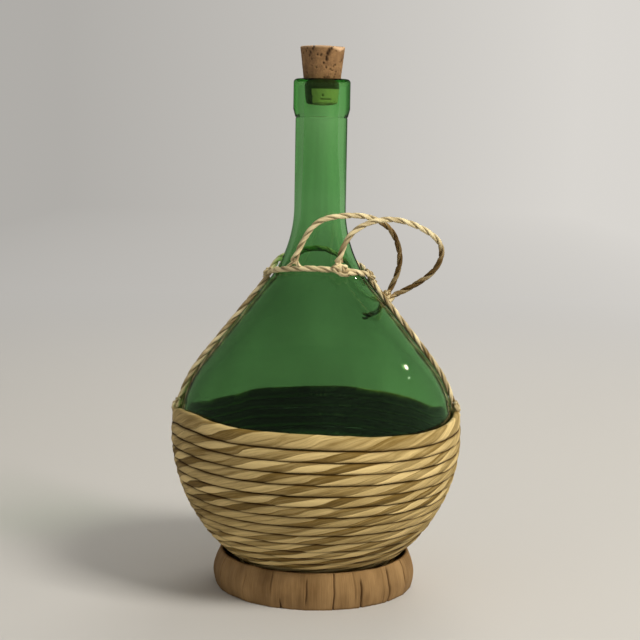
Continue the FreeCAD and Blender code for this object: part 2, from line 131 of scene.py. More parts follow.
def colour_setting(name, description, code):
    """A colour that starts as an sRGB hex code."""
    return FloatVectorProperty(name=name, description=description, subtype="COLOR", size=3,
                               min=0, max=1, default=linear(code))


def length_setting(name, description, metres):
    """A length, shown to a hundredth of a millimetre."""
    return FloatProperty(name=name, description=description, default=metres, unit="LENGTH",
                         precision=5)


class FlaskSettings(bpy.types.PropertyGroup):
    """The glass and the cork."""
    glass_colour: colour_setting(
        "Neck surface", "What the two faces of the neck's wall let through", "#c5e5c1")
    # Painted shade: the belly's tint is darker than the neck's, standing for the shade seen through
    # it.
    glass_belly_shade_colour: colour_setting(
        "Belly surface", "What the two faces of the belly's wall let through", "#a7c4a3")
    glass_lip_colour: colour_setting(
        "Lip surface", "What the two faces of the thick lip let through", "#dff3d9")
    glass_roughness: FloatProperty(
        name="Glass roughness", description="Blur of the glass surface",
        min=0, max=1, default=0.0, subtype="FACTOR")
    wall_wave: length_setting(
        "Wall wave", "How much the blown wall varies in thickness", 0.22 * MM)
    cork_light: colour_setting("Cork, light", "Fresh face of the cork", "#a37d52")
    cork_dark: colour_setting("Cork, dark", "Browner patches of the cork", "#745537")


class BasketSettings(bpy.types.PropertyGroup):
    """The coiled basket and its hoop."""
    lay: length_setting("Basket lay", "Length of one full turn of the basket's rope", 28 * MM)
    groove: length_setting("Ply groove", "Depth of the step between two plies", 0.45 * MM)
    rim_wave: FloatProperty(
        name="Rim wave", description="How far the rim is pulled out of level, as a share",
        min=0, max=2, default=1.0, subtype="FACTOR")
    leaf_light: colour_setting("Leaf, light", "Pale face of the dry leaf", "#ebcf8e")
    leaf_dark: colour_setting("Leaf, dark", "Browner face of the dry leaf", "#8a6f34")
    hoop_light: colour_setting("Shaving, light", "Pale grain of the wood shaving", "#ab885a")
    hoop_dark: colour_setting("Shaving, dark", "Dark grain of the wood shaving", "#7b5d38")


class RopeSettings(bpy.types.PropertyGroup):
    """The ropes on the glass and the two cords of the handle."""
    diameter: length_setting("Cord diameter", "Diameter of the twisted cord", 3.0 * MM)
    lay: length_setting("Cord lay", "Length of one full turn of the cord", 15 * MM)
    left_length: length_setting(
        "Left cord", "Length of the cord from the front of the ring", 0.1059)
    right_length: length_setting("Right cord", "Length of the cord from the front knot", 0.1141)


class StageSettings(bpy.types.PropertyGroup):
    """Floor, lights and camera."""
    floor_colour: colour_setting("Floor", "Colour of the pale floor", "#cbc8c2")
    backdrop_colour: colour_setting("Backdrop", "Colour seen behind the object", "#c2bfba")
    seed: IntProperty(name="Seed", description="Seed of all variation", default=7)


# ---- materials

def add(tree, kind, inputs=None, **settings):
    """Adds a shader node with its settings; each input is a value or a socket to link."""
    made = tree.nodes.new(kind)
    for key, value in settings.items():
        setattr(made, key, value)
    for key, value in (inputs or {}).items():
        if isinstance(value, bpy.types.NodeSocket):
            tree.links.new(value, made.inputs[key])
        else:
            made.inputs[key].default_value = value
    return made


def new_material(name):
    """An empty node material and its tree."""
    material = bpy.data.materials.new(name)
    material.use_nodes = True
    material.node_tree.nodes.clear()
    return material, material.node_tree


def output(tree, shader):
    """Links a shader to the material's output."""
    add(tree, "ShaderNodeOutputMaterial", {"Surface": shader})


def ramp(tree, factor, stops):
    """A colour ramp through (position, colour) stops."""
    made = add(tree, "ShaderNodeValToRGB", {"Fac": factor})
    elements = made.color_ramp.elements
    while len(elements) < len(stops):
        elements.new(0.5)
    for element, (place, colour) in zip(elements, stops):
        element.position = place
        element.color = tuple(colour[:3]) + (1.0,)
    return made.outputs["Color"]


def noise_of(tree, vector, scale=1.0, **more):
    """A noise texture's value; more names its other inputs."""
    made = add(tree, "ShaderNodeTexNoise", {"Vector": vector, "Scale": scale, **more})
    return made.outputs["Fac"]


def stretched(tree, vector, *scale):
    """A vector scaled along each axis."""
    return add(tree, "ShaderNodeMapping", {"Vector": vector, "Scale": scale}).outputs[0]


def painted(tree, name):
    """A value stored on the mesh."""
    return add(tree, "ShaderNodeAttribute", attribute_name=name).outputs["Fac"]


def maths(tree, operation, *values):
    """The result of an operation on sockets and values."""
    return add(tree, "ShaderNodeMath", dict(enumerate(values)), operation=operation).outputs[0]


def share_of(tree, value, low, high, top=1.0, smooth=False):
    """0 where a value is low, top where it is high, and between them a straight or smooth rise."""
    return add(tree, "ShaderNodeMapRange", {"Value": value, 1: low, 2: high, 4: top},
               interpolation_type="SMOOTHSTEP" if smooth else "LINEAR").outputs[0]


def blended(tree, factor, first, second):
    """One colour fading into another."""
    return add(tree, "ShaderNodeMix", {0: factor, "A": first, "B": second},
               data_type="RGBA").outputs["Result"]


def mixed_shaders(tree, factor, first, second):
    """One shader fading into another."""
    return add(tree, "ShaderNodeMixShader", {0: factor, 1: first, 2: second}).outputs[0]


def dry_surface(tree, colour, roughness, specular, relief, strength, depth):
    """The output of an opaque material: its colour, its gloss and its fine relief."""
    bump = add(tree, "ShaderNodeBump", {"Height": relief, "Strength": strength, "Distance": depth})
    output(tree, add(tree, "ShaderNodeBsdfPrincipled", {
        "Base Color": colour, "Roughness": roughness, "Specular IOR Level": specular,
        "Normal": bump.outputs[0]}).outputs[0])


def blown_glass(settings):
    """Soda-lime bottle glass, blown: fire-polished gloss, green by iron, lit through by lamps; its
    belly is tinted darker as painted shade, and one side clearer as painted light.
    """
    material, tree = new_material("blown green bottle glass")
    place = add(tree, "ShaderNodeTexCoord").outputs["Object"]
    across, _, height = add(tree, "ShaderNodeSeparateXYZ", {0: place}).outputs
    # Streaks a few centimetres wide run up the wall, where the gather was thinner.
    streaks = noise_of(tree, stretched(tree, place, 26.0, 26.0, 5.0), Detail=1.0)
    # Painted shade: the tint darkens from the neck down to the belly.
    neck = share_of(tree, height, 0.150, 0.215, smooth=True)
    share = maths(tree, "MULTIPLY_ADD", streaks, 1.5, neck)
    # Painted light: the tint turns clearer towards +X, as if more light came through that side of
    # the belly.
    share = maths(tree, "ADD", share, share_of(tree, across, 0.012, 0.058, 0.6, smooth=True))
    share = share_of(tree, share, 0.40, 1.75)
    lip = share_of(tree, height, 0.215, 0.2565)
    wall = ((0.0, [v * 0.86 for v in settings.glass_belly_shade_colour]),
            (0.30, settings.glass_belly_shade_colour), (1.0, settings.glass_colour))

    def wall_colour(bend):
        """The tint of the wall, each value bent by a function, clearer in the thick lip."""
        body = ramp(tree, share, [(stop, [bend(v) for v in colour]) for stop, colour in wall])
        return blended(tree, lip, body, tuple(bend(v) for v in settings.glass_lip_colour) + (1.0,))

    glass = add(tree, "ShaderNodeBsdfPrincipled", {
        "Base Color": wall_colour(float), "Roughness": settings.glass_roughness, "IOR": 1.5,
        "Transmission Weight": 1.0})
    # A wall is crossed at two faces, so each face passes the square root of the tint to a lamp.
    passed = add(tree, "ShaderNodeBsdfTransparent", {"Color": wall_colour(sqrt)})
    path = add(tree, "ShaderNodeLightPath")
    surface = mixed_shaders(tree, path.outputs["Is Shadow Ray"], glass.outputs[0],
                            passed.outputs[0])
    # Iron in the glass: 3 mm of wall keeps 74, 88 and 72 hundredths of red, green and blue.
    body = add(tree, "ShaderNodeVolumeAbsorption", {"Color": (0.069, 0.612, 0.006, 1.0),
                                                    "Density": 110.0})
    add(tree, "ShaderNodeOutputMaterial", {"Surface": surface, "Volume": body.outputs[0]})
    return material


def natural_cork(settings):
    """Punched natural cork: dry and matt, tan with browner growth bands, near-black pores and pale
    rubbed edges; in the neck, painted light and painted shade.
    """
    material, tree = new_material("punched natural cork")
    place = add(tree, "ShaderNodeTexCoord").outputs["Object"]
    patches = noise_of(tree, place, 260.0, Detail=5.0, Roughness=0.62)
    # Cork cells are 0.04 mm, too fine to show, so the grain is drawn ten times as coarse.
    grain = noise_of(tree, place, 2500.0)
    blend = maths(tree, "ADD", patches, grain)
    base = ramp(tree, maths(tree, "MULTIPLY", blend, 0.5),
                [(0.36, settings.cork_dark), (0.62, settings.cork_light)])
    # The pore value also paints shade on the cork in the neck.
    pitted = blended(tree, painted(tree, "pore_and_shade"), base, solid_colour("#2a1706"))
    # Pale where rubbed, and pale as painted light in the neck.
    rubbed_and_lit = blended(tree, painted(tree, "rubbed_and_lit"), pitted, solid_colour("#ebc49a"))
    dry_surface(tree, rubbed_and_lit, 0.85, 0.5, blend, 0.35, 0.3 * MM)
    return material


def leaf_rope(name, light, dark, hazel, relief=0.5, fineness=2.6):
    """Dry twisted leaf: satin fibres along each ply, pale and brown faces, and painted shade in the
    grooves.

    One unit of the map is a millimetre; fineness is how many fibres lie side by side on it.
    """
    material, tree = new_material(name)
    lines = add(tree, "ShaderNodeUVMap", uv_map="fibre").outputs[0]
    # Fibres run for a centimetre, and the patches where a leaf is browner for three.
    fibre = noise_of(tree, stretched(tree, lines, fineness, 0.10, 1.0), Detail=3.0, Roughness=0.6)
    patch = noise_of(tree, stretched(tree, lines, 0.35, 0.03, 1.0))
    level = maths(tree, "MULTIPLY_ADD", fibre, 0.38, painted(tree, "tone"))
    level = maths(tree, "MULTIPLY_ADD", patch, 0.45, level)
    colour = ramp(tree, level, [(0.38, hazel), (0.62, dark), (1.0, light)])
    # Painted shade: the groove value darkens the leaf to a dark brown.
    shade = blended(tree, painted(tree, "groove"), colour, solid_colour("#4a310a"))
    dry_surface(tree, shade, 0.52, 0.35, fibre, relief, 0.25 * MM)
    return material


def wood_shaving(settings):
    """Peeled poplar shaving: straight upright grain, matt, with painted shade in its creases and
    cracks.
    """
    material, tree = new_material("peeled poplar shaving")
    lines = add(tree, "ShaderNodeUVMap", uv_map="fibre").outputs[0]
    # One unit of the map is a millimetre: grain lines are about 0.5 mm apart.
    grain = noise_of(tree, stretched(tree, lines, 1.9, 0.06, 1.0), Detail=4.0, Roughness=0.65)
    panel = noise_of(tree, stretched(tree, lines, 0.09, 0.035, 1.0), Detail=3.0)
    level = maths(tree, "MULTIPLY_ADD", grain, 0.5, panel)
    colour = ramp(tree, level, [(0.52, settings.hoop_dark), (0.95, settings.hoop_light)])
    # Painted shade: the groove value darkens the cracks to a dark brown.
    shade = blended(tree, painted(tree, "groove"), colour, solid_colour("#4a2e15"))
    dry_surface(tree, shade, 0.72, 0.3, grain, 0.45, 0.3 * MM)
    return material


# ---- mesh helpers

def deselect():
    """Leaves edit mode and selects nothing."""
    if bpy.context.object and bpy.context.object.mode != "OBJECT":
        bpy.ops.object.mode_set(mode="OBJECT")
    bpy.ops.object.select_all(action="DESELECT")


def make_active(piece):
    """Selects only this object and makes it the active one."""
    deselect()
    piece.select_set(True)
    bpy.context.view_layer.objects.active = piece


def placed(name, data):
    """A new object in the scene with this data."""
    made = bpy.data.objects.new(name, data)
    bpy.context.collection.objects.link(made)
    return made


def polar(radius, turn, height):
    """A point from its radius, angle and height in millimetres, itself in metres."""
    return Vector((radius * cos(turn), radius * sin(turn), height)) * MM


def noise_at(*place):
    """Smooth noise from -1 to 1 at a place."""
    return noise(Vector(place))


def turn_from(azimuth, other):
    """Degrees from one azimuth to another, the shorter way round."""
    return (azimuth - other + 180) % 360 - 180


class Weave:
    """Vertices, faces and the values of their corners, gathered for one piece."""

    def __init__(self):
        self.verts = []
        self.faces = []
        self.uvs = []
        self.tones = []
        self.painted_shades = []

    def face(self, corners):
        """Adds a face from (vertex, uv, tone, painted shade) corners."""
        self.faces.append([corner[0] for corner in corners])
        for _, uv, tone, groove in corners:
            self.uvs.extend(uv)
            self.tones.append(tone)
            self.painted_shades.append(groove)

    def piece(self, name, material):
        """Makes the object, its faces outwards and smooth."""
        mesh = bpy.data.meshes.new(name)
        mesh.from_pydata(self.verts, [], self.faces)
        mesh.uv_layers.new(name="fibre").data.foreach_set("uv", self.uvs)
        for label, values in (("tone", self.tones), ("groove", self.painted_shades)):
            mesh.attributes.new(label, "FLOAT", "CORNER").data.foreach_set("value", values)
        mesh.polygons.foreach_set("use_smooth", [True] * len(mesh.polygons))
        mesh.materials.append(material)
        shell = bmesh.new()
        shell.from_mesh(mesh)
        bmesh.ops.recalc_face_normals(shell, faces=shell.faces)
        shell.to_mesh(mesh)
        shell.free()
        return placed(name, mesh)


def finish_piece(piece, slot, *nodes):
    """Hands a finished piece to the frame."""
    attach(piece, "root")
    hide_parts(*nodes)


def spun(name, outline, steps):
    """A closed piece turned about +Z from a line of (radius, height) points in millimetres."""
    deselect()
    mesh = bpy.data.meshes.new(name)
    edges = [(i, i + 1) for i in range(len(outline) - 1)]
    mesh.from_pydata([(radius * MM, 0, height * MM) for radius, height in outline], edges, [])
    made = placed(name, mesh)
    make_active(made)
    bpy.ops.object.mode_set(mode="EDIT")
    bpy.ops.mesh.select_all(action="SELECT")
    bpy.ops.mesh.spin(steps=steps, angle=tau, center=(0, 0, 0), axis=(0, 0, 1))
    bpy.ops.mesh.select_all(action="SELECT")
    bpy.ops.mesh.remove_doubles(threshold=0.002 * MM)
    bpy.ops.mesh.normals_make_consistent(inside=False)
    bpy.ops.object.mode_set(mode="OBJECT")
    mesh.polygons.foreach_set("use_smooth", [True] * len(mesh.polygons))
    return made


def arc(centre, height, radius, start, end, count):
    """Points on a circle, from one angle to the other, both ends included."""
    angles = [start + (end - start) * i / count for i in range(count + 1)]
    return [(centre + radius * cos(a), height + radius * sin(a)) for a in angles]


def run(first, last, count):
    """Points on a straight line, without its two ends."""
    return [(first[0] + (last[0] - first[0]) * i / count,
             first[1] + (last[1] - first[1]) * i / count) for i in range(1, count)]


# ---- flask

def flask_outline():
    """The wall of the flask as one closed line in millimetres, from punt to inner floor."""
    lip_bottom = FLASK_HEIGHT - LIP_HEIGHT
    taper_end = lip_bottom - LIP_TAPER
    base_angle = atan2(FLASK_BASE - BELLY_HEIGHT, BASE_RADIUS - LOWER_CENTRE)
    inner_lower = LOWER_RADIUS - GLASS_WALL
    floor = FLASK_BASE + GLASS_WALL
    floor_radius = LOWER_CENTRE + sqrt(inner_lower ** 2 - (BELLY_HEIGHT - floor) ** 2)
    floor_angle = atan2(floor - BELLY_HEIGHT, floor_radius - LOWER_CENTRE)
    dome = [(PUNT_RADIUS * t, FLASK_BASE + PUNT_DEPTH * (1 - t * t)) for t in (0, 0.25, 0.5, 0.75)]
    points = dome + [(PUNT_RADIUS, FLASK_BASE + 0.3), (PUNT_RADIUS + 1.5, FLASK_BASE),
                     (BASE_RADIUS - 2, FLASK_BASE)]
    points += arc(LOWER_CENTRE, BELLY_HEIGHT, LOWER_RADIUS, base_angle, 0, 26)
    points += arc(SHOULDER_CENTRE, BELLY_HEIGHT, SHOULDER_RADIUS, 0, SHOULDER_TILT, 18)[1:]
    points += run(points[-1], (CONE_TOP_RADIUS, CONE_TOP_HEIGHT), 10)
    points += arc(BLEND_CENTRE, BLEND_HEIGHT, BLEND_RADIUS, pi + SHOULDER_TILT, pi, 18)
    # The neck, the small step under the lip, the lip and its rounded top.
    points += run((NECK_RADIUS, BLEND_HEIGHT), (NECK_RADIUS, taper_end - 2.7), 8)
    points += [(NECK_RADIUS, taper_end - drop) for drop in (2.7, 2.3, 1.9, 1.5, 1.1, 0.7, 0.35)]
    points += [(NECK_RADIUS - 0.35, taper_end), (NECK_RADIUS + 0.15, taper_end + 0.3),
               (NECK_RADIUS + 0.35, taper_end + 0.9), (LIP_RADIUS - 0.25, lip_bottom - 0.4),
               (LIP_RADIUS, lip_bottom + 0.4)]
    points += run(points[-1], (LIP_RADIUS, FLASK_HEIGHT - LIP_ROUND), 4)
    points += arc(LIP_RADIUS - LIP_ROUND, FLASK_HEIGHT - LIP_ROUND, LIP_ROUND, 0, pi / 2, 6)
    # The mouth flares to the cork that sits in it, and the bore widens into the neck.
    seat = CORK_TOP_RADIUS - (CORK_TOP_RADIUS - CORK_BOTTOM_RADIUS) * CORK_PROUD / CORK_LENGTH
    bore_bottom = FLASK_HEIGHT - BORE_LENGTH
    points += [(seat + 0.7, FLASK_HEIGHT), (seat + 0.15, FLASK_HEIGHT - 0.35),
               (BORE_RADIUS, FLASK_HEIGHT - BORE_FLARE)]
    points += run(points[-1], (BORE_RADIUS, bore_bottom), 4) + [(BORE_RADIUS, bore_bottom)]
    widening = NECK_RADIUS - GLASS_WALL - BORE_RADIUS
    points += [(BORE_RADIUS + widening * (3 * t * t - 2 * t ** 3), bore_bottom - BORE_WIDENING * t)
               for t in (0.15, 0.3, 0.5, 0.7, 0.85)]
    points += arc(BLEND_CENTRE, BLEND_HEIGHT, BLEND_RADIUS + GLASS_WALL, pi,
                  pi + SHOULDER_TILT, 18)
    inner_shoulder = arc(SHOULDER_CENTRE, BELLY_HEIGHT, SHOULDER_RADIUS - GLASS_WALL,
                         SHOULDER_TILT, 0, 18)
    points += run(points[-1], inner_shoulder[0], 10) + inner_shoulder
    points += arc(LOWER_CENTRE, BELLY_HEIGHT, inner_lower, 0, floor_angle, 26)[1:]
    points += [(PUNT_RADIUS + 3, floor), (PUNT_RADIUS + 1.5, floor)]
    points += [(x * 1.05, z + GLASS_WALL) for x, z in reversed(dome)]
    return points


def build_flask(settings, stage):
    """The blown flask, with the slightly uneven inner wall that such glass has."""
    flask = spun("flask_glass", flask_outline(), 160)
    random.seed(stage.seed)
    drift = Vector((random.random() * 10, random.random() * 10, random.random() * 10))
    for vertex in flask.data.vertices:
        x, y, z = vertex.co
        radius = hypot(x, y)
        height = z / MM
        if radius < 8.5 * MM:
            continue
        # The lip and the foot stay true over 20 mm.
        high = (min(1.0, max(0.0, (FLASK_HEIGHT - height) / 20))
                * min(1.0, max(0.0, (height - 20) / 20)))
        turn = Vector((x / radius, y / radius, z * 5)) * 1.6 + drift
        inner = noise(turn) + 0.5 * noise(turn * 2.7)
        outer = noise(turn * 0.8 + Vector((5, 5, 5)))
        outside = (shoulder_surface(height)[0] if height > BELLY_HEIGHT else radius / MM + 0.8) * MM
        is_inner = radius < outside - 1.4 * MM
        shift = settings.wall_wave * (inner if is_inner else 0.25 * outer) * high
        vertex.co.x += x / radius * shift
        vertex.co.y += y / radius * shift
    flask.data.materials.append(blown_glass(settings))
    finish_piece(flask, "green_glass", "glass_flask")


# ---- cork

# The marks at the cork's front: azimuth, depth under the top, width and tallness in millimetres.
# Two pores stand side by side, a chain of crumbs runs down, and a row sits at the mouth.
CORK_MARKS = ((256, 4.6, 0.5, 0.6), (266, 4.8, 0.45, 0.7), (246, 0.6, 0.55, 0.8),
              (243, 1.6, 0.55, 0.8), (236, 3.6, 0.5, 0.9), (232, 5.0, 0.4, 0.6),
              (309, 9.8, 0.55, 0.45), (304, 10.6, 0.45, 0.4), (294, 12.0, 0.5, 0.35),
              (300, 12.6, 0.55, 0.35), (315, 13.2, 0.45, 0.45), (276, 16.4, 0.6, 0.4),
              (285, 16.4, 0.7, 0.45), (292, 16.3, 0.6, 0.4), (272, 25.6, 0.6, 0.6))
# A slanting crack: azimuth, depth under the top and width of each of its pits.
CORK_CRACK = ((299, -0.3, 0.6), (294, 1.4, 0.75), (288, 2.6, 1.05), (284, 4.0, 1.15),
              (281, 5.8, 0.6), (281, 7.0, 0.85))


def cork_pores(bottom, top):
    """The cork's pores and marks, each an azimuth, a height, a width and a tallness."""
    pores = []
    for _ in range(90):
        azimuth = random.uniform(0, 360)
        height = bottom + random.uniform(0.0, 1.0) * (top - bottom)
        size = random.choice((0.28, 0.35, 0.45, 0.6))
        tall = size * random.uniform(0.7, 1.5)
        # The part that shows in the neck is clean at the front, but for one pore and one line.
        if not (height < top - 21 and 245 < azimuth < 300):
            pores.append((azimuth, height, size, tall))
    pores += [(azimuth, top - drop, wide, tall) for azimuth, drop, wide, tall in CORK_MARKS]
    pores += [(azimuth, top - 27.6, 0.8, 0.32) for azimuth in range(268, 297, 4)]
    pores += [(azimuth, top - drop, wide, wide * 1.5) for azimuth, drop, wide in CORK_CRACK]
    return pores


def pore_depth(pores, azimuth, radius, z):
    """How deep the pores are at a place on the cork's side, from 0 to 1."""
    depth = 0.0
    for pore_azimuth, height, wide, tall in pores:
        off = radians(turn_from(azimuth, pore_azimuth)) * radius
        if abs(off) <= 2 * wide and abs(z - height) <= 2 * tall:
            reach = hypot(off / wide, (z - height) / tall)
            depth = max(depth, 1 - min(1, reach ** 2 / 1.4))
    return depth


def build_cork(settings, stage):
    """The tapered cork, pitted with pores, cracked at its top and worn at one corner, with painted
    light and shade where it sits in the neck.
    """
    bottom, top = (corner[2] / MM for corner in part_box("cork"))
    taper = (CORK_TOP_RADIUS - CORK_BOTTOM_RADIUS) / (top - bottom)
    outline = [(r, bottom) for r in (0, 2, 4, 6, 7.3)] + [(7.9, bottom + 0.12)]
    side = [bottom + 0.5 + (top - bottom - 1.0) * i / 64 for i in range(65)]
    outline += [(CORK_TOP_RADIUS - (top - z) * taper, z) for z in side]
    outline += [(11.45, top - 0.16), (11.1, top)]
    outline += [(r, top) for r in (10.4, 9.6, 8.8, 8, 7, 6, 5, 4, 3, 2, 1, 0)]
    cork = spun("cork_stopper", outline, 168)
    random.seed(stage.seed + 1)
    pores = cork_pores(bottom, top)
    values, rubbed_and_lit = [], []
    for vertex in cork.data.vertices:
        x, y, z = place = vertex.co / MM
        radius = hypot(x, y)
        azimuth = degrees(atan2(y, x)) % 360 if radius > 0.01 else 0
        depth = 0.0
        if radius > 6.5:
            depth = pore_depth(pores, azimuth, radius, z)
        elif z > top - 1:
            depth = min(1.0, max(0.0, noise(Vector((x, y, 3)) * 0.55) * 3 - 1.0))
        rough = noise(place * 0.8) * 0.12 + noise(place * 2.2) * 0.06
        pull = rough - depth * 0.75
        # A worn corner at the right of the top.
        worn = max(0.0, 1 - abs(turn_from(azimuth, 322)) / 32)
        if radius > 9 and z > top - 2.2:
            pull -= worn * 0.9 * (z - top + 2.2) / 2.2
        if radius > 0.01 and bottom + 0.01 < z < top - 0.01:
            # The side that the mouth grips keeps its taper.
            if not FLASK_HEIGHT - 5 <= z <= FLASK_HEIGHT + 0.3:
                vertex.co.x += x / radius * pull * MM
                vertex.co.y += y / radius * pull * MM
        elif z >= top - 0.01:
            vertex.co.z += (rough - depth * 0.6 - worn * max(0.0, radius - 8.5) * 0.22) * MM
        edge = max(0.0, 1 - hypot(radius - 11.4, z - top) / (1.3 + 1.9 * worn))
        shown, wear_and_light = depth, min(0.75, edge * (0.8 + 1.2 * worn))
        if z < FLASK_HEIGHT - 0.5:
            # In the neck the cork is painted paler, partly as clean cork and partly as painted light
            # for the lamps shining through the glass; painted shade darkens a band under the mouth
            # and its left side.
            shaded = z > FLASK_HEIGHT - 5.3 or 180 < azimuth < 238
            shown, wear_and_light = (max(depth, 0.8), 0.0) if shaded else (depth, 1.0)
        values.append(shown)
        rubbed_and_lit.append((1 - depth) * wear_and_light)
    for label, data in (("rubbed_and_lit", rubbed_and_lit), ("pore_and_shade", values)):
        cork.data.attributes.new(label, "FLOAT", "POINT").data.foreach_set("value", data)
    cork.data.materials.append(natural_cork(settings))
    finish_piece(cork, "cork", "cork")


# ---- basket

PLY_STOPS = (0.0, 0.05, 0.12, 0.22, 0.35, 0.5, 0.65, 0.78, 0.88, 0.95)
PLY_STEPS = len(PLY_STOPS)
LAY_STEPS = 2 * PLY_STEPS
# The rope's section from the middle of its back, down, up its face and back over the top:
# shares of the half thickness and half height, and how much of a lay the plies have gone on.
SECTION = ((-1.0, 0.0, 0.0), (-1.0, -0.55, 0.02), (-0.65, -0.90, 0.04), (0.0, -1.0, 0.06),
           (0.60, -0.95, 0.10), (0.90, -0.80, 0.20), (1.02, -0.50, 0.33), (1.06, -0.17, 0.45),
           (1.06, 0.17, 0.55), (1.02, 0.50, 0.67), (0.90, 0.80, 0.80), (0.60, 0.95, 0.90),
           (0.0, 1.0, 0.94), (-0.65, 0.90, 0.96), (-1.0, 0.55, 0.98))
AROUND = len(SECTION)
# The strip of the rope's back that gets painted light, standing for the light that comes through the
# glass.
PAINTED_LIGHT_STRIP = 1


def ply_relief(place):
    """Height of a ply across its width: a crisp leading edge, then a slow dive under the next."""
    return (1 - exp(-place / 0.05)) * (1 - 0.6 * place ** 2.4)


# How far the rim stands above its level, in millimetres, at azimuths from +X.
RIM_WAVE = ((0, 0.2), (12, -1.0), (26, -3.2), (44, -1.6), (60, -0.2), (79, 0.5), (101, -0.4),
            (122, -0.8), (132, -2.4), (145, -4.4), (158, -2.0), (171, -0.2), (184, -0.6), (200, 2.0),
            (214, 2.2), (227, 1.0), (239, 0.4), (250, 0.3), (265, 0.0), (280, -0.7), (295, -1.8),
            (314, -2.3), (325, -2.0), (335, -1.6), (346, -0.8), (353, 0.2), (360, 0.2))


def pull_up(azimuth, row, settings):
    """How far a row is pulled out of level, in millimetres, fading over the first rows."""
    azimuth = min(359.999, max(0.0, azimuth))
    after = next(k for k, stop in enumerate(RIM_WAVE) if stop[0] > azimuth)
    (low, here), (high, there) = RIM_WAVE[after - 1], RIM_WAVE[after]
    share = (azimuth - low) / (high - low)
    share = share * share * (3 - 2 * share)
    return (here + (there - here) * share) * settings.rim_wave * 0.74 ** row


def waver(spot, scale, seed):
    """Smooth unevenness round a row, from a spot on the unit circle."""
    return noise(spot * scale + Vector((0, 0, seed)))


def rope_row(weave, row, radius, height, lean, half_height, half_thick, basket, is_side):
    """One row of flat two-ply rope around the axis, its plies rising to the right outside."""
    lays = max(2, round(tau * radius / (basket.lay / MM * random.uniform(0.92, 1.06))))
    lay = tau / lays
    start = random.uniform(0, tau)
    outward = Vector((cos(lean), sin(lean)))
    upward = Vector((-sin(lean), cos(lean)))
    count = lays * LAY_STEPS
    groove = basket.groove / MM
    base = len(weave.verts)
    tones = [random.uniform(-0.12, 0.12) for _ in range(lays * 2 + 2)]
    lifts = [random.uniform(0.55, 1.3) for _ in range(lays * 2 + 2)]
    contrast = random.uniform(0.45, 1.15)
    phase = random.uniform(0, 50)
    drift = random.uniform(0, 50)
    for i in range(count):
        ply, place = i // PLY_STEPS, PLY_STOPS[i % PLY_STEPS]
        relief = ply_relief(place)
        tilt = (0.46 if ply % 2 else -0.34) * relief * lifts[ply] * contrast
        for out_share, up_share, advance in SECTION:
            turn = start + ((ply + place) / 2 + advance) * lay
            spot = Vector((cos(turn), sin(turn), 0))
            turn += 0.035 * waver(spot, 3.1, drift) + 0.045 * waver(spot, 7.3, phase)
            wobble = waver(spot, 2.6, drift + 9)
            out = out_share * (half_thick - groove * (1 - relief)) + wobble * 0.15
            out -= tilt * up_share * max(0.0, out_share)
            up = up_share * (half_height - 0.3 * groove * (1 - relief)) + wobble * 0.26
            up += 0.16 * up_share * waver(spot, 8.5, drift)
            level = height + outward.y * out + upward.y * up
            ring = radius + outward.x * out + upward.x * up
            if is_side:
                rise = pull_up(degrees(turn) % 360, row - 0.5 * up_share, basket)
                ring -= rise * 0.26
                level += rise
                if level > BELLY_HEIGHT:
                    # A row that is pulled up lies against the shoulder.
                    touching = shoulder_surface(level)[0] + (1 + out_share) * half_thick
                    ring = min(ring, touching)
            weave.verts.append(polar(ring, turn, level))
    for i in range(count):
        ply = i // PLY_STEPS
        stop = PLY_STOPS[i % PLY_STEPS]
        following = PLY_STOPS[(i + 1) % PLY_STEPS] or 1.0
        # One ply lighter and the other darker: partly the leaf's two faces, partly painted shade on
        # the ply that faces down.
        tone = 0.37 + (0.15 if ply % 2 else -0.13) * contrast + tones[ply]
        for j in range(AROUND):
            corners = []
            for di, dj in QUAD:
                across = following if di else stop
                # Past the end of the section the ply has gone on by a whole lay.
                rounds, jj = divmod(j + dj, AROUND)
                out_share, up_share, advance = SECTION[jj]
                index = base + (i + di + rounds * LAY_STEPS) % count * AROUND + jj
                place = (across * 7.0 + ply * 13.1,
                         (advance + rounds) * 32 + ply * 37.7 + row * 11.3)
                # Painted shade in the crease where one ply dives under the next, and along the row's
                # top and bottom edges where the rows meet.
                crease_shade = max(0.0, 1 - across / 0.06) * 0.35
                edge = min(1.0, max(0.0, (abs(up_share) - 0.74) / 0.2))
                # Painted shade on the back of the rope, but for the strip that shows through glass.
                back_shade = 0.95 if out_share < -0.5 and jj != PAINTED_LIGHT_STRIP else 0.0
                if row == 0 and up_share > 0:
                    edge, back_shade = 0.0, back_shade * 0.6
                # Painted light on that strip of the back.
                back_light = 0.5 if jj == PAINTED_LIGHT_STRIP else 0.0
                corners.append((index, place, tone + back_light, max(crease_shade, edge * 0.95, back_shade)))
            weave.face(corners)


def basket_point(angle, depth):
    """Radius and height on the basket's side, this deep under the crests of its rows."""
    reach = BASKET_RADIUS - depth
    return BASKET_CENTRE + reach * cos(angle), BELLY_HEIGHT + reach * sin(angle)


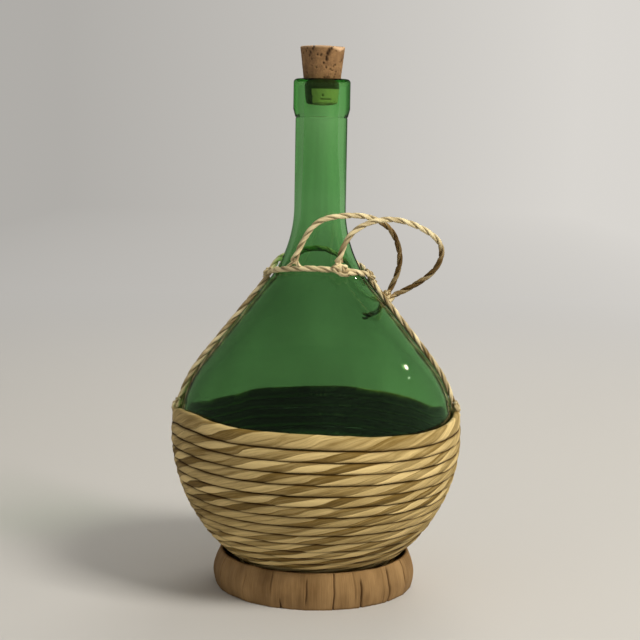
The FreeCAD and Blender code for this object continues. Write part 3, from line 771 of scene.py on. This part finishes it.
def build_basket(basket, stage):
    """The coiled basket: the rim row, the rows below it, and the coil of its floor."""
    random.seed(stage.seed + 2)
    material = leaf_rope("twisted dry sedge leaf, basket", basket.leaf_light, basket.leaf_dark,
                         linear("#563e12"))
    angle = asin((RIM_HEIGHT - BELLY_HEIGHT) / BASKET_RADIUS)
    rows = []
    for tall in [RIM_ROW] + [COIL_ROW] * COIL_COUNT:
        rows.append((angle - tall / 2 / BASKET_RADIUS, tall))
        angle -= tall / BASKET_RADIUS
    groups = {"basket_rim": rows[:1], "basket_upper_rows": rows[1:9], "basket_lower_rows": rows[9:]}
    number = 0
    for name, members in groups.items():
        weave = Weave()
        for lean, tall in members:
            radius, height = basket_point(lean, ROPE_THICKNESS / 2)
            rope_row(weave, number, radius, height, lean, tall / 2 * 1.005,
                     ROPE_THICKNESS / 2, basket, True)
            number += 1
        finish_piece(weave.piece(name, material), "sedge_rope", "basket")
    weave = Weave()
    radius = FLOOR_RADIUS
    while radius > 4:
        rope_row(weave, number, radius, FLASK_BASE - FLOOR_DROP, -pi / 2,
                 COIL_ROW / 2 * 1.03, FLOOR_THICKNESS / 2, basket, False)
        radius -= COIL_ROW
        number += 1
    finish_piece(weave.piece("basket_floor", material), "sedge_rope", "basket")


# ---- hoop

# Cracks and folds of the shaving: azimuth, half width, depth, and the shares of the height
# that each runs between.
CRACKS = [(332.9, 0.75, 2.2, 0.25, 1.0), (316.9, 0.60, 2.0, 0.0, 0.98), (312.4, 0.35, 0.6, 0.0, 1.0),
          (297.2, 0.50, 1.7, 0.0, 0.80), (293.5, 0.35, 0.6, 0.1, 1.0), (281.3, 0.45, 1.2, 0.0, 1.0),
          (266.2, 0.40, 1.1, 0.1, 0.9), (252.0, 0.45, 1.7, -0.1, 0.28), (246.0, 0.4, 0.6, 0.3, 1.0),
          (228.0, 0.4, 0.5, 0.0, 0.9), (205.0, 0.45, 1.0, 0.3, 1.0), (184.0, 0.5, 1.5, 0.0, 0.8),
          (160.0, 0.4, 0.8, 0.0, 1.0), (141.0, 0.5, 1.6, 0.2, 1.0), (118.0, 0.4, 0.7, 0.0, 1.0),
          (97.0, 0.45, 1.4, 0.0, 0.7), (74.0, 0.4, 0.8, 0.1, 1.0), (52.0, 0.5, 1.6, 0.0, 0.9),
          (31.0, 0.4, 0.7, 0.2, 1.0), (12.0, 0.45, 1.2, 0.0, 1.0), (350.0, 0.4, 0.8, 0.0, 1.0)]
HOOP_TOP_RADIUS, HOOP_BULGE, HOOP_FLARE, HOOP_WALL = 51.39, 3.5, 2.2, 1.5
BULGE_SHARE = 8.0 / 20.6
HOOP_TURNS, HOOP_LEVELS = 900, 16
# The grain is laid out at a radius of this many millimetres.
GRAIN_RADIUS = 0.96 * 54


def hoop_radius(share):
    """The hoop's outer radius at a share of its height: out to the bulge, then in to the basket."""
    if share < BULGE_SHARE:
        swell = sin(share / BULGE_SHARE * pi / 2)
        return HOOP_TOP_RADIUS + HOOP_FLARE + (HOOP_BULGE - HOOP_FLARE) * swell
    t = (share - BULGE_SHARE) / (1 - BULGE_SHARE)
    return HOOP_TOP_RADIUS + HOOP_BULGE * (1 - t ** 1.5)


def crack_at(azimuth, share):
    """How deep the hoop's cracks are at a place, and how much painted shade darkens them."""
    depth = dark = 0.0
    for centre, half, deep, low, high in CRACKS:
        bent = centre + 1.1 * noise_at(centre, share * 2.2, 0)
        off = abs(turn_from(azimuth, bent))
        if off > 2.4 * half or not low <= share <= high:
            continue
        ends = min(1.0, (high - share) / 0.18 + (1 if high >= 1 else 0),
                   (share - low) / 0.18 + (1 if low <= 0 else 0))
        amount = exp(-(off / half) ** 2 * 1.6) * ends
        depth = max(depth, amount * deep)
        dark = max(dark, amount * min(1.0, deep / 1.3))
    return depth, dark


def build_hoop(basket):
    """The hoop: one thin shaving bent round, its panels flat between the cracks."""
    bottom, top = (corner[2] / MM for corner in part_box("foot_hoop"))
    tall = top - bottom
    azimuths = sorted(crack[0] for crack in CRACKS)
    weave = Weave()
    crack_shades = []
    for i in range(HOOP_TURNS):
        azimuth = 360 * i / HOOP_TURNS
        low = max((a for a in azimuths if a <= azimuth), default=azimuths[-1] - 360)
        high = min((a for a in azimuths if a > azimuth), default=azimuths[0] + 360)
        half_span = radians(min(high - low, 24) / 2)
        middle = radians((low + high) / 2)
        turn = radians(azimuth)
        east, north = cos(turn), sin(turn)
        chord = cos(half_span) / cos(min(half_span, abs(turn - middle)))
        panel = noise_at(low * 0.37, 4, 9)
        foot_wave = 0.55 * noise_at(east * 5, north * 5, 1) + 0.35 * panel
        top_wave = 0.5 * noise_at(east * 4, north * 4, 7) - 1.9
        for is_inner in (False, True):
            for k in range(HOOP_LEVELS + 1):
                share = k / HOOP_LEVELS
                z = share * tall + (1 - share) ** 3 * max(0.0, foot_wave) + share ** 3 * top_wave
                depth, dark = crack_at(azimuth, share)
                radius = hoop_radius(share) * (0.35 + 0.65 * chord) + 0.35 * panel * share
                radius += 0.16 * noise_at(east * 30, north * 30, share * 1.5)
                radius -= depth * 0.55 + HOOP_WALL if is_inner else depth
                weave.verts.append(polar(radius, turn, max(0.0, z)))
                crack_shades.append(dark * 0.5 if is_inner else dark)
    columns = 2 * (HOOP_LEVELS + 1)
    along = GRAIN_RADIUS * tau / HOOP_TURNS
    for i in range(HOOP_TURNS):
        for k in range(columns):
            corners = []
            for di, dk in QUAD:
                kk = (k + dk) % columns
                # The inner face is stored bottom to top, so the section goes back down it.
                level = kk if kk <= HOOP_LEVELS else columns + HOOP_LEVELS - kk
                index = (i + di) % HOOP_TURNS * columns + level
                height = level % (HOOP_LEVELS + 1) / HOOP_LEVELS * tall
                corners.append((index, ((i + di) * along, height), 0.5, crack_shades[index]))
            weave.face(corners)
    finish_piece(weave.piece("shaving_hoop", wood_shaving(basket)), "wood_shaving", "foot_hoop")


# ---- ropes

# Points around a ply, and how far from an open end the plies part.
PLY_SIDES, PARTING = 9, 6 * MM
# Piece, frame node, azimuth, lift above the node, tilt, size and radius of the rope.
KNOTS = (
    ("knot_neck_front", "neck_knot_front", 299.5, -0.6, -12.0, 2.5, 1.45),
    ("knot_neck_left", "neck_knot_left", 184.0, -0.8, 40.0, 1.9, 1.2),
    ("knot_neck_right", "neck_knot_right", -4.0, -1.2, -55.0, 1.9, 1.2),
    ("knot_rim_left", "rim_knot_left", 187.0, -2.9, 60.0, 2.0, 1.45),
    ("knot_rim_right", "rim_knot_right", -6.0, -2.2, -70.0, 1.7, 1.3),
    ("knot_hitch", "handle_hitch", 3.6, 0.4, -40.0, 1.9, 1.3))


def shoulder_surface(height):
    """Radius of the flask above its belly, and how far its side leans in."""
    if height >= BLEND_HEIGHT:
        return NECK_RADIUS, 0.0
    if height >= CONE_TOP_HEIGHT:
        lean = asin((BLEND_HEIGHT - height) / BLEND_RADIUS)
        return BLEND_CENTRE - BLEND_RADIUS * cos(lean), lean
    if height >= CONE_BOTTOM_HEIGHT:
        rise = height - CONE_BOTTOM_HEIGHT
        return CONE_BOTTOM_RADIUS - rise * tan(SHOULDER_TILT), SHOULDER_TILT
    lean = asin((height - BELLY_HEIGHT) / SHOULDER_RADIUS)
    return SHOULDER_CENTRE + SHOULDER_RADIUS * cos(lean), lean


def on_flask(azimuth, height, standoff):
    """A point this far out from the glass, square to it, in metres."""
    radius, lean = shoulder_surface(height)
    return polar(radius + standoff * cos(lean), radians(azimuth),
                 height + standoff * sin(lean))


def smooth_line(points, resolution):
    """The points of a NURBS spline through a route's control points."""
    data = bpy.data.curves.new("route", "CURVE")
    data.dimensions = "3D"
    spline = data.splines.new("NURBS")
    spline.points.add(len(points) - 1)
    for target, point in zip(spline.points, points):
        target.co = (*point, 1)
    spline.order_u = 3
    spline.use_endpoint_u = True
    spline.resolution_u = resolution
    holder = placed("route", data)
    line = bpy.data.meshes.new_from_object(holder)
    path = [vertex.co.copy() for vertex in line.vertices]
    bpy.data.objects.remove(holder)
    bpy.data.curves.remove(data)
    bpy.data.meshes.remove(line)
    return path


def between(stops, place):
    """The value at a place on a line of (place, value) stops."""
    for (low, here), (high, there) in zip(stops, stops[1:]):
        if place <= high:
            return here + (there - here) * (place - low) / (high - low)
    return stops[-1][1]


def carried_frames(path, first):
    """Two directions across each point of a path, turned as little as they can be."""
    side = first.normalized()
    frames = []
    for i, point in enumerate(path):
        heading = (path[min(i + 1, len(path) - 1)] - path[max(i - 1, 0)]).normalized()
        side = (side - heading * side.dot(heading)).normalized()
        frames.append((point, side, heading.cross(side)))
    return frames


def twist_strands(weave, path, radius, lay, first, start=0.0, seed=0.0, open_ends=(0.0, 0.0),
                  pale=0.0, tones=((0.0, 0.0), (1.0, 0.0))):
    """Two flattened plies wound right-handed around a path; open_ends let the plies part there."""
    frames = carried_frames(path, first)
    steps = [(b - a).length for a, b in zip(path, path[1:])]
    total = sum(steps)
    round_ply = [tau * k / PLY_SIDES for k in range(PLY_SIDES)]
    for ply in range(2):
        base = len(weave.verts)
        distance = 0.0
        for (point, side, other), step in zip(frames, [0.0] + steps):
            distance += step
            angle = start + pi * ply + tau * distance / lay
            out = side * cos(angle) + other * sin(angle)
            across = -side * sin(angle) + other * cos(angle)
            parting = (open_ends[0] * max(0.0, 1 - distance / PARTING)
                       + open_ends[1] * max(0.0, 1 - (total - distance) / PARTING))
            grow = radius * (1 + 0.10 * noise_at(distance * 160, ply * 7 + seed, 2))
            centre = point + out * (radius * 0.47 + parting)
            weave.verts += [centre + out * (cos(turn) * 0.52 * grow)
                            + across * (sin(turn) * 0.80 * grow) for turn in round_ply]
        tone = 0.34 + pale + (0.10 if ply else -0.06) + 0.05 * noise_at(seed, ply, 1)
        walked = 0.0
        for i, step in enumerate(steps):
            drift = 0.16 * noise_at(walked * 90, seed, ply * 3)
            drift += between(tones, walked / total)
            for k in range(PLY_SIDES):
                corners = []
                for di, dk in QUAD:
                    turn = round_ply[(k + dk) % PLY_SIDES]
                    # Painted shade on the side where the plies press together and along each ply's
                    # edges.
                    inner_shade = max(0.0, -cos(turn))
                    rim = max(0.0, abs(sin(turn)) - 0.8) * 1.2
                    place = ((k + dk) / PLY_SIDES * 7.0 + ply * 9.3 + seed * 3.1,
                             (walked + di * step) / MM + seed * 17.0)
                    corners.append((base + (i + di) * PLY_SIDES + (k + dk) % PLY_SIDES, place,
                                    tone + drift, min(0.7, 0.55 * inner_shade + rim)))
                weave.face(corners)
            walked += step
        # The ends are closed, with painted shade on them.
        for i, order in ((0, -1), (len(steps), 1)):
            corners = [(base + i * PLY_SIDES + k, (k * 0.5, 0.0), tone, 0.4)
                       for k in range(PLY_SIDES)]
            weave.face(corners[::order])


def rope_piece(name, points, resolution, radius, lay, first, material, node, **extra):
    """One piece of two-ply rope along a route, standing for its CAD node; also gives its path."""
    path = smooth_line(points, resolution)
    weave = Weave()
    twist_strands(weave, path, radius, lay, first, **extra)
    made = weave.piece(name, material)
    finish_piece(made, "sedge_rope", node)
    return made, path


def build_cords(ropes, material):
    """The two free cords of the handle, each on one smooth line."""
    # The leaf is pale at the top of the loops and browner towards their ends, lower on the right.
    for name, route, length, start, tones in (
            ("left", HANDLE_LEFT_ROUTE, ropes.left_length, 0.4,
             ((0.0, 0.1), (0.25, 0.25), (0.5, 0.25), (0.62, -0.17), (0.95, -0.12), (1.0, -0.05))),
            ("right", HANDLE_RIGHT_ROUTE, ropes.right_length, 1.9,
             ((0.0, 0.1), (0.2, 0.22), (0.58, 0.3), (0.68, -0.1), (0.85, -0.2), (1.0, -0.05)))):
        made, path = rope_piece(
            "handle_" + name, [Vector(point) * MM for point in route], 60, ropes.diameter / 2,
            ropes.lay, FRONT, material, "handle_cord_" + name, start=start, seed=start * 5,
            open_ends=(0.9 * MM, 0.0), tones=tones)


def build_neck_ropes(ropes, material):
    """The rope around the neck, in the three stretches between its knots, and the loose end."""
    # The back stretch is paler, partly a paler leaf and partly painted light, as the lamps reach it
    # only through the glass.
    for place, route, seed, pale in (("front", NECK_FRONT_ROUTE, 1.0, 0.2),
                                     ("right", NECK_RIGHT_ROUTE, 2.0, 0.2),
                                     ("back", NECK_BACK_ROUTE, 3.0, 0.45)):
        points = []
        for azimuth, height in route:
            # The ring rides up behind the left knot and sags at the front.
            lift = 1.6 if 130 < azimuth < 175 else -0.9 if 200 < azimuth < 290 else 0.0
            points.append(on_flask(azimuth, height + lift, 2.4 if 130 < azimuth < 178 else 1.9))
        # Between its ends it bows out a little.
        points[1:-1] = [Vector((p.x * 1.012, p.y * 1.012, p.z)) for p in points[1:-1]]
        rope_piece("neck_ring_" + place, points, 22, 1.6 * MM, ropes.lay, UP, material,
                   "neck_rope_" + place, seed=seed, pale=pale)
    rope_piece("handle_tail_end", [on_flask(*place, 1.9) for place in TAIL_ROUTE], 20, 1.5 * MM,
               ropes.lay, UP, material, "handle_tail", seed=4.0, open_ends=(0.0, 0.8 * MM))


def build_straps(ropes, material):
    """The two straps, pulled tight over the shoulder from the ring down to the rim."""
    for side, azimuth, lowest, seed in (("left", 184.0, 99.4, 5.0), ("right", -4.0, 99.5, 6.0)):
        heights = (166.5, 160.0, 150.0, 140.0, 131.0, 124.0, 117.0, 110.5, 105.0, lowest)
        points = [on_flask(azimuth, height, 1.45) for height in heights]
        points.append(middle_of("rim_knot_" + side, -2.0))
        rope_piece("strap_rope_" + side, points, 18, 1.5 * MM, ropes.lay * 1.15, FRONT, material,
                   "strap_" + side, seed=seed, open_ends=(0.0, 0.4 * MM), pale=0.08)


def middle_of(node, lift):
    """The middle of a frame node's box, moved up by so many millimetres."""
    lowest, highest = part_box(node)
    return (Vector(lowest) + Vector(highest)) / 2 + Vector((0, 0, lift * MM))


def knot_path(centre, along, up, size):
    """An open overhand knot around a centre, its ends leading out along the rope."""
    out = along.cross(up).normalized()
    points = [(-2.6, 0.1, 0.0), (-1.9, 0.1, 0.0)]
    for step in range(1, 12):
        t = tau * step / 12
        reach = 2 + cos(3 * t)
        points.append((reach * cos(2 * t) / 2.1, reach * sin(2 * t) / 2.5,
                       sin(3 * t) * 0.62))
    points += [(1.9, -0.1, 0.0), (2.6, -0.1, 0.0)]
    return [centre + (along * x + up * y + out * z) * size for x, y, z in points]


def build_knots(material):
    """The knots at the neck, at the rim and behind the right strap."""
    for number, (name, node, azimuth, lift, tilt, size, radius) in enumerate(KNOTS):
        centre = middle_of(node, lift)
        turn = radians(azimuth)
        lean = shoulder_surface(centre.z / MM)[1]
        around = Vector((-sin(turn), cos(turn), 0))
        rising = Vector((-cos(turn) * sin(lean), -sin(turn) * sin(lean),
                         cos(lean)))
        angle = radians(tilt)
        along = around * cos(angle) + rising * sin(angle)
        up = -around * sin(angle) + rising * cos(angle)
        rope_piece(name, knot_path(centre, along, up, size * MM), 10, radius * MM, 10 * MM, up,
                   material, node, seed=10.0 + number, pale=0.15)


# ---- stage

CAMERA_LENS, CAMERA_SHIFT = 83.98125, 0.003125
CAMERA_PLACE, CAMERA_PITCH, CAMERA_ROLL = (0, -0.7955, 0.2435), 7.15, 1.0


def build_ends(ropes, material):
    """The short ends and turns of rope around the knots."""
    # The cords' ends, carried on from the hitch to the strap they are tied round.
    for name, route, middle, last, seed in (
            ("hitch_end_left", HANDLE_LEFT_ROUTE, (37.6, 0.2, 158.3), (36.4, -2.8, 156.0), 30.0),
            ("hitch_end_right", HANDLE_RIGHT_ROUTE, (39.0, 0.0, 156.0), (37.2, -3.2, 154.4), 31.0)):
        points = [Vector(point) * MM for point in (route[-1], middle, last)]
        rope_piece(name, points, 10, 1.4 * MM, ropes.lay, FRONT, material, "handle_hitch",
                   seed=seed)
    # The two strands of the left cord part at its foot and tuck into the neck rope.
    for name, places, seed, pale in (
            ("foot_strand_left",
             ((235.5, 177.0, 1.9), (232.5, 174.6, 2.4), (227.5, 172.4, 2.6)), 32.0, 0.1),
            ("foot_strand_right",
             ((235.5, 177.0, 2.4), (240.0, 174.8, 3.0), (246.5, 172.6, 3.0)), 33.0, 0.3)):
        rope_piece(name, [on_flask(*place) for place in places], 10, 0.95 * MM, ropes.lay, FRONT,
                   material, "neck_rope_front", seed=seed, pale=pale)
    # The collar where the right cord comes out of the front knot, once round the neck rope.
    foot = Vector(HANDLE_RIGHT_ROUTE[0]) * MM
    ring = on_flask(293.0, 172.6, 1.9)
    loop = [foot + Vector(offset) * MM
            for offset in ((0.4, 0.3, 2.0), (0.2, -0.3, -0.4), (-1.2, -1.2, -2.4))]
    loop += [ring + Vector(offset) * MM
             for offset in ((-1.6, -2.4, 0.6), (0.4, -2.7, -1.4), (2.2, -1.6, -2.2),
                            (2.4, 0.2, -0.6), (1.0, 0.4, 1.8), (-0.8, -1.6, 2.6), (0.6, -2.6, 1.8))]
    rope_piece("collar_neck_front", loop, 10, 1.3 * MM, 12 * MM, FRONT, material,
               "neck_knot_front", seed=20.0, pale=0.15)


def aim(holder, target):
    """Turns a lamp to look at a point."""
    holder.rotation_euler = (Vector(target) - holder.location).to_track_quat("-Z", "Y").to_euler()


def build_lamps():
    """Three soft square lamps that glass doesn't mirror, and two small bulbs that glint on it."""
    for name, place, target, size, watts, colour in (
            ("key", (1.0, -0.75, 1.3), (0, 0, 0.1), 0.6, 25, (1.0, 0.97, 0.92)),
            ("fill", (-1.1, -0.9, 0.7), (0, 0, 0.1), 0.9, 0.8, (1.0, 0.96, 0.9)),
            ("rim", (0.3, 1.2, 1.1), (0, 0, 0.12), 0.9, 8, (1.0, 0.98, 0.95))):
        data = bpy.data.lights.new(name, "AREA")
        data.size, data.energy, data.color = size, watts, colour
        lamp = placed(name, data)
        lamp.location = place
        aim(lamp, target)
        lamp.visible_glossy = lamp.visible_transmission = False
    for name, place, radius, watts in (("glint_high", (1.203, 0.685, 0.960), 0.009, 0.5),
                                       ("glint_low", (1.285, 0.538, 0.951), 0.008, 0.35)):
        data = bpy.data.lights.new(name, "POINT")
        data.shadow_soft_size, data.energy, data.color = radius, watts, linear("#fff2cf")
        placed(name, data).location = place


def painted_sideways_light(tree, across, colour, reach):
    """The backdrop's colour with painted light and shade: darker to the left and lighter to the
    right over a reach.
    """
    shades = [(0.0, [v * 0.80 for v in colour]), (0.5, colour), (1.0, [v * 1.28 for v in colour])]
    return ramp(tree, share_of(tree, across, -reach, reach), shades)


def build_floor(stage):
    """The pale floor, which fades into the backdrop's colour away from the object."""
    deselect()
    bpy.ops.mesh.primitive_circle_add(vertices=96, radius=4.0, fill_type="NGON", location=(0, 0, 0))
    floor = bpy.context.object
    floor.name = "floor"
    material, tree = new_material("matt pale floor")
    place = add(tree, "ShaderNodeTexCoord").outputs["Object"]
    distance = add(tree, "ShaderNodeVectorMath", {0: place}, operation="LENGTH").outputs["Value"]
    near = add(tree, "ShaderNodeBsdfDiffuse", {"Color": (*stage.floor_colour, 1.0)})
    across = add(tree, "ShaderNodeSeparateXYZ", {0: place}).outputs["X"]
    # Far off, the floor shows the backdrop's colour, with painted light and shade across it.
    far = add(tree, "ShaderNodeEmission", {
        "Color": painted_sideways_light(tree, across, stage.backdrop_colour, 0.8)})
    shown = mixed_shaders(tree, share_of(tree, distance, 0.35, 1.5, smooth=True),
                          near.outputs[0], far.outputs[0])
    # Mirrored in the glass, the floor is as dim as the studio around it.
    dim = add(tree, "ShaderNodeBsdfDiffuse", {
        "Color": (*(v * 0.25 for v in stage.floor_colour), 1.0)})
    path = add(tree, "ShaderNodeLightPath").outputs
    bounced = add(tree, "ShaderNodeMath", {
        0: path["Is Glossy Ray"], 1: path["Is Transmission Ray"]},
        operation="SUBTRACT", use_clamp=True)
    output(tree, mixed_shaders(tree, bounced.outputs[0], shown, dim.outputs[0]))
    floor.data.materials.append(material)


def build_world(stage):
    """A studio of even soft light, pale where it is seen and dim where it is mirrored."""
    world = bpy.data.worlds.new("studio")
    bpy.context.scene.world = world
    world.use_nodes = True
    tree = world.node_tree
    tree.nodes.clear()
    path = add(tree, "ShaderNodeLightPath").outputs
    seen = maths(tree, "MAXIMUM", path["Is Camera Ray"], path["Is Transmission Ray"])
    soft = add(tree, "ShaderNodeBackground", {"Color": solid_colour("#f4f2ee"), "Strength": 0.34})
    heading = add(tree, "ShaderNodeTexCoord").outputs["Generated"]
    across = add(tree, "ShaderNodeSeparateXYZ", {0: heading}).outputs["X"]
    # Seen directly, the backdrop has painted light and shade across it.
    shown = add(tree, "ShaderNodeBackground", {
        "Color": painted_sideways_light(tree, across, stage.backdrop_colour, 0.167), "Strength": 1.0})
    # Mirrored, the studio is dim, as if dark cloth hung round it, so the glass stays clear.
    mirrored = add(tree, "ShaderNodeBackground", {"Color": (*stage.backdrop_colour, 1.0),
                                                  "Strength": 0.12})
    unseen = mixed_shaders(tree, path["Is Glossy Ray"], soft.outputs[0], mirrored.outputs[0])
    add(tree, "ShaderNodeOutputWorld", {
        "Surface": mixed_shaders(tree, seen, unseen, shown.outputs[0])})


def build_stage(stage):
    """The floor, the light and the camera."""
    build_floor(stage)
    build_world(stage)
    build_lamps()
    data = bpy.data.cameras.new("camera")
    data.sensor_width = 36.0
    data.lens = CAMERA_LENS
    data.shift_x = CAMERA_SHIFT
    camera = placed("camera", data)
    camera.matrix_world = (Matrix.Translation(CAMERA_PLACE)
                           @ Matrix.Rotation(radians(90 - CAMERA_PITCH), 4, "X")
                           @ Matrix.Rotation(radians(CAMERA_ROLL), 4, "Z"))
    bpy.context.scene.camera = camera
    bpy.context.scene.view_settings.view_transform = "Standard"


# ---- operators

class FlaskOperator:
    """What the operators share: they can be undone."""
    bl_options = {"REGISTER", "UNDO"}


class FLASK_OT_stage(FlaskOperator, bpy.types.Operator):
    """Adds the floor, the lights and the camera"""
    bl_idname = "flask.add_stage"
    bl_label = "Stage"

    def execute(self, context):
        build_stage(context.scene.flask_stage)
        return {"FINISHED"}


class FLASK_OT_cords(FlaskOperator, bpy.types.Operator):
    """Adds the two free cords of the handle"""
    bl_idname = "flask.add_cords"
    bl_label = "Handle cords"

    def execute(self, context):
        build_cords(context.scene.flask_ropes, cord_material(context.scene.flask_basket))
        return {"FINISHED"}


class FLASK_OT_ropes(FlaskOperator, bpy.types.Operator):
    """Adds the neck rope, the straps and the knots"""
    bl_idname = "flask.add_ropes"
    bl_label = "Neck rope, straps and knots"

    def execute(self, context):
        ropes = context.scene.flask_ropes
        material = cord_material(context.scene.flask_basket)
        build_neck_ropes(ropes, material)
        build_straps(ropes, material)
        build_knots(material)
        build_ends(ropes, material)
        return {"FINISHED"}


class FLASK_OT_flask(FlaskOperator, bpy.types.Operator):
    """Adds the blown glass flask"""
    bl_idname = "flask.add_flask"
    bl_label = "Glass flask"

    def execute(self, context):
        build_flask(context.scene.flask_body, context.scene.flask_stage)
        return {"FINISHED"}


class FLASK_OT_cork(FlaskOperator, bpy.types.Operator):
    """Adds the tapered cork"""
    bl_idname = "flask.add_cork"
    bl_label = "Cork"

    def execute(self, context):
        build_cork(context.scene.flask_body, context.scene.flask_stage)
        return {"FINISHED"}


class FLASK_OT_basket(FlaskOperator, bpy.types.Operator):
    """Adds the coiled basket"""
    bl_idname = "flask.add_basket"
    bl_label = "Coiled basket"

    def execute(self, context):
        build_basket(context.scene.flask_basket, context.scene.flask_stage)
        return {"FINISHED"}


class FLASK_OT_hoop(FlaskOperator, bpy.types.Operator):
    """Adds the wood-shaving hoop"""
    bl_idname = "flask.add_hoop"
    bl_label = "Shaving hoop"

    def execute(self, context):
        build_hoop(context.scene.flask_basket)
        return {"FINISHED"}


def cord_material(basket):
    """The finish of the thin ropes, made once."""
    name = "twisted dry sedge leaf, cord"
    return bpy.data.materials.get(name) or leaf_rope(
        name, linear("#f7e4b2"), linear("#86693a"), linear("#5d431c"), 0.05, 1.0)


OPERATORS = (FLASK_OT_stage, FLASK_OT_cords, FLASK_OT_flask, FLASK_OT_cork, FLASK_OT_basket,
             FLASK_OT_hoop, FLASK_OT_ropes)


class FLASK_PT_panel(bpy.types.Panel):
    """Lists the pieces of the flask"""
    bl_label = "Flask in a basket"
    bl_space_type = "VIEW_3D"
    bl_region_type = "UI"
    bl_category = "Flask"

    def draw(self, context):
        for operator in OPERATORS:
            self.layout.operator(operator.bl_idname)
        for group in ("flask_body", "flask_basket", "flask_ropes", "flask_stage"):
            settings = getattr(context.scene, group)
            for key in settings.__annotations__:
                self.layout.prop(settings, key)


GROUPS = (("flask_body", FlaskSettings), ("flask_basket", BasketSettings),
          ("flask_ropes", RopeSettings), ("flask_stage", StageSettings))


def register():
    """Registers the settings, the operators and the panel."""
    for name, group in GROUPS:
        bpy.utils.register_class(group)
        setattr(bpy.types.Scene, name, PointerProperty(type=group))
    for item in OPERATORS + (FLASK_PT_panel,):
        bpy.utils.register_class(item)


def unregister():
    """Takes them away again."""
    for item in (FLASK_PT_panel,) + OPERATORS[::-1]:
        bpy.utils.unregister_class(item)
    for name, group in GROUPS[::-1]:
        delattr(bpy.types.Scene, name)
        bpy.utils.unregister_class(group)


def main():
    """Builds the whole object."""
    register()
    bpy.ops.flask.add_stage()
    bpy.ops.flask.add_cords()
    bpy.ops.flask.add_flask()
    bpy.ops.flask.add_cork()
    bpy.ops.flask.add_basket()
    bpy.ops.flask.add_hoop()
    bpy.ops.flask.add_ropes()


if __name__ == "__main__":
    main()
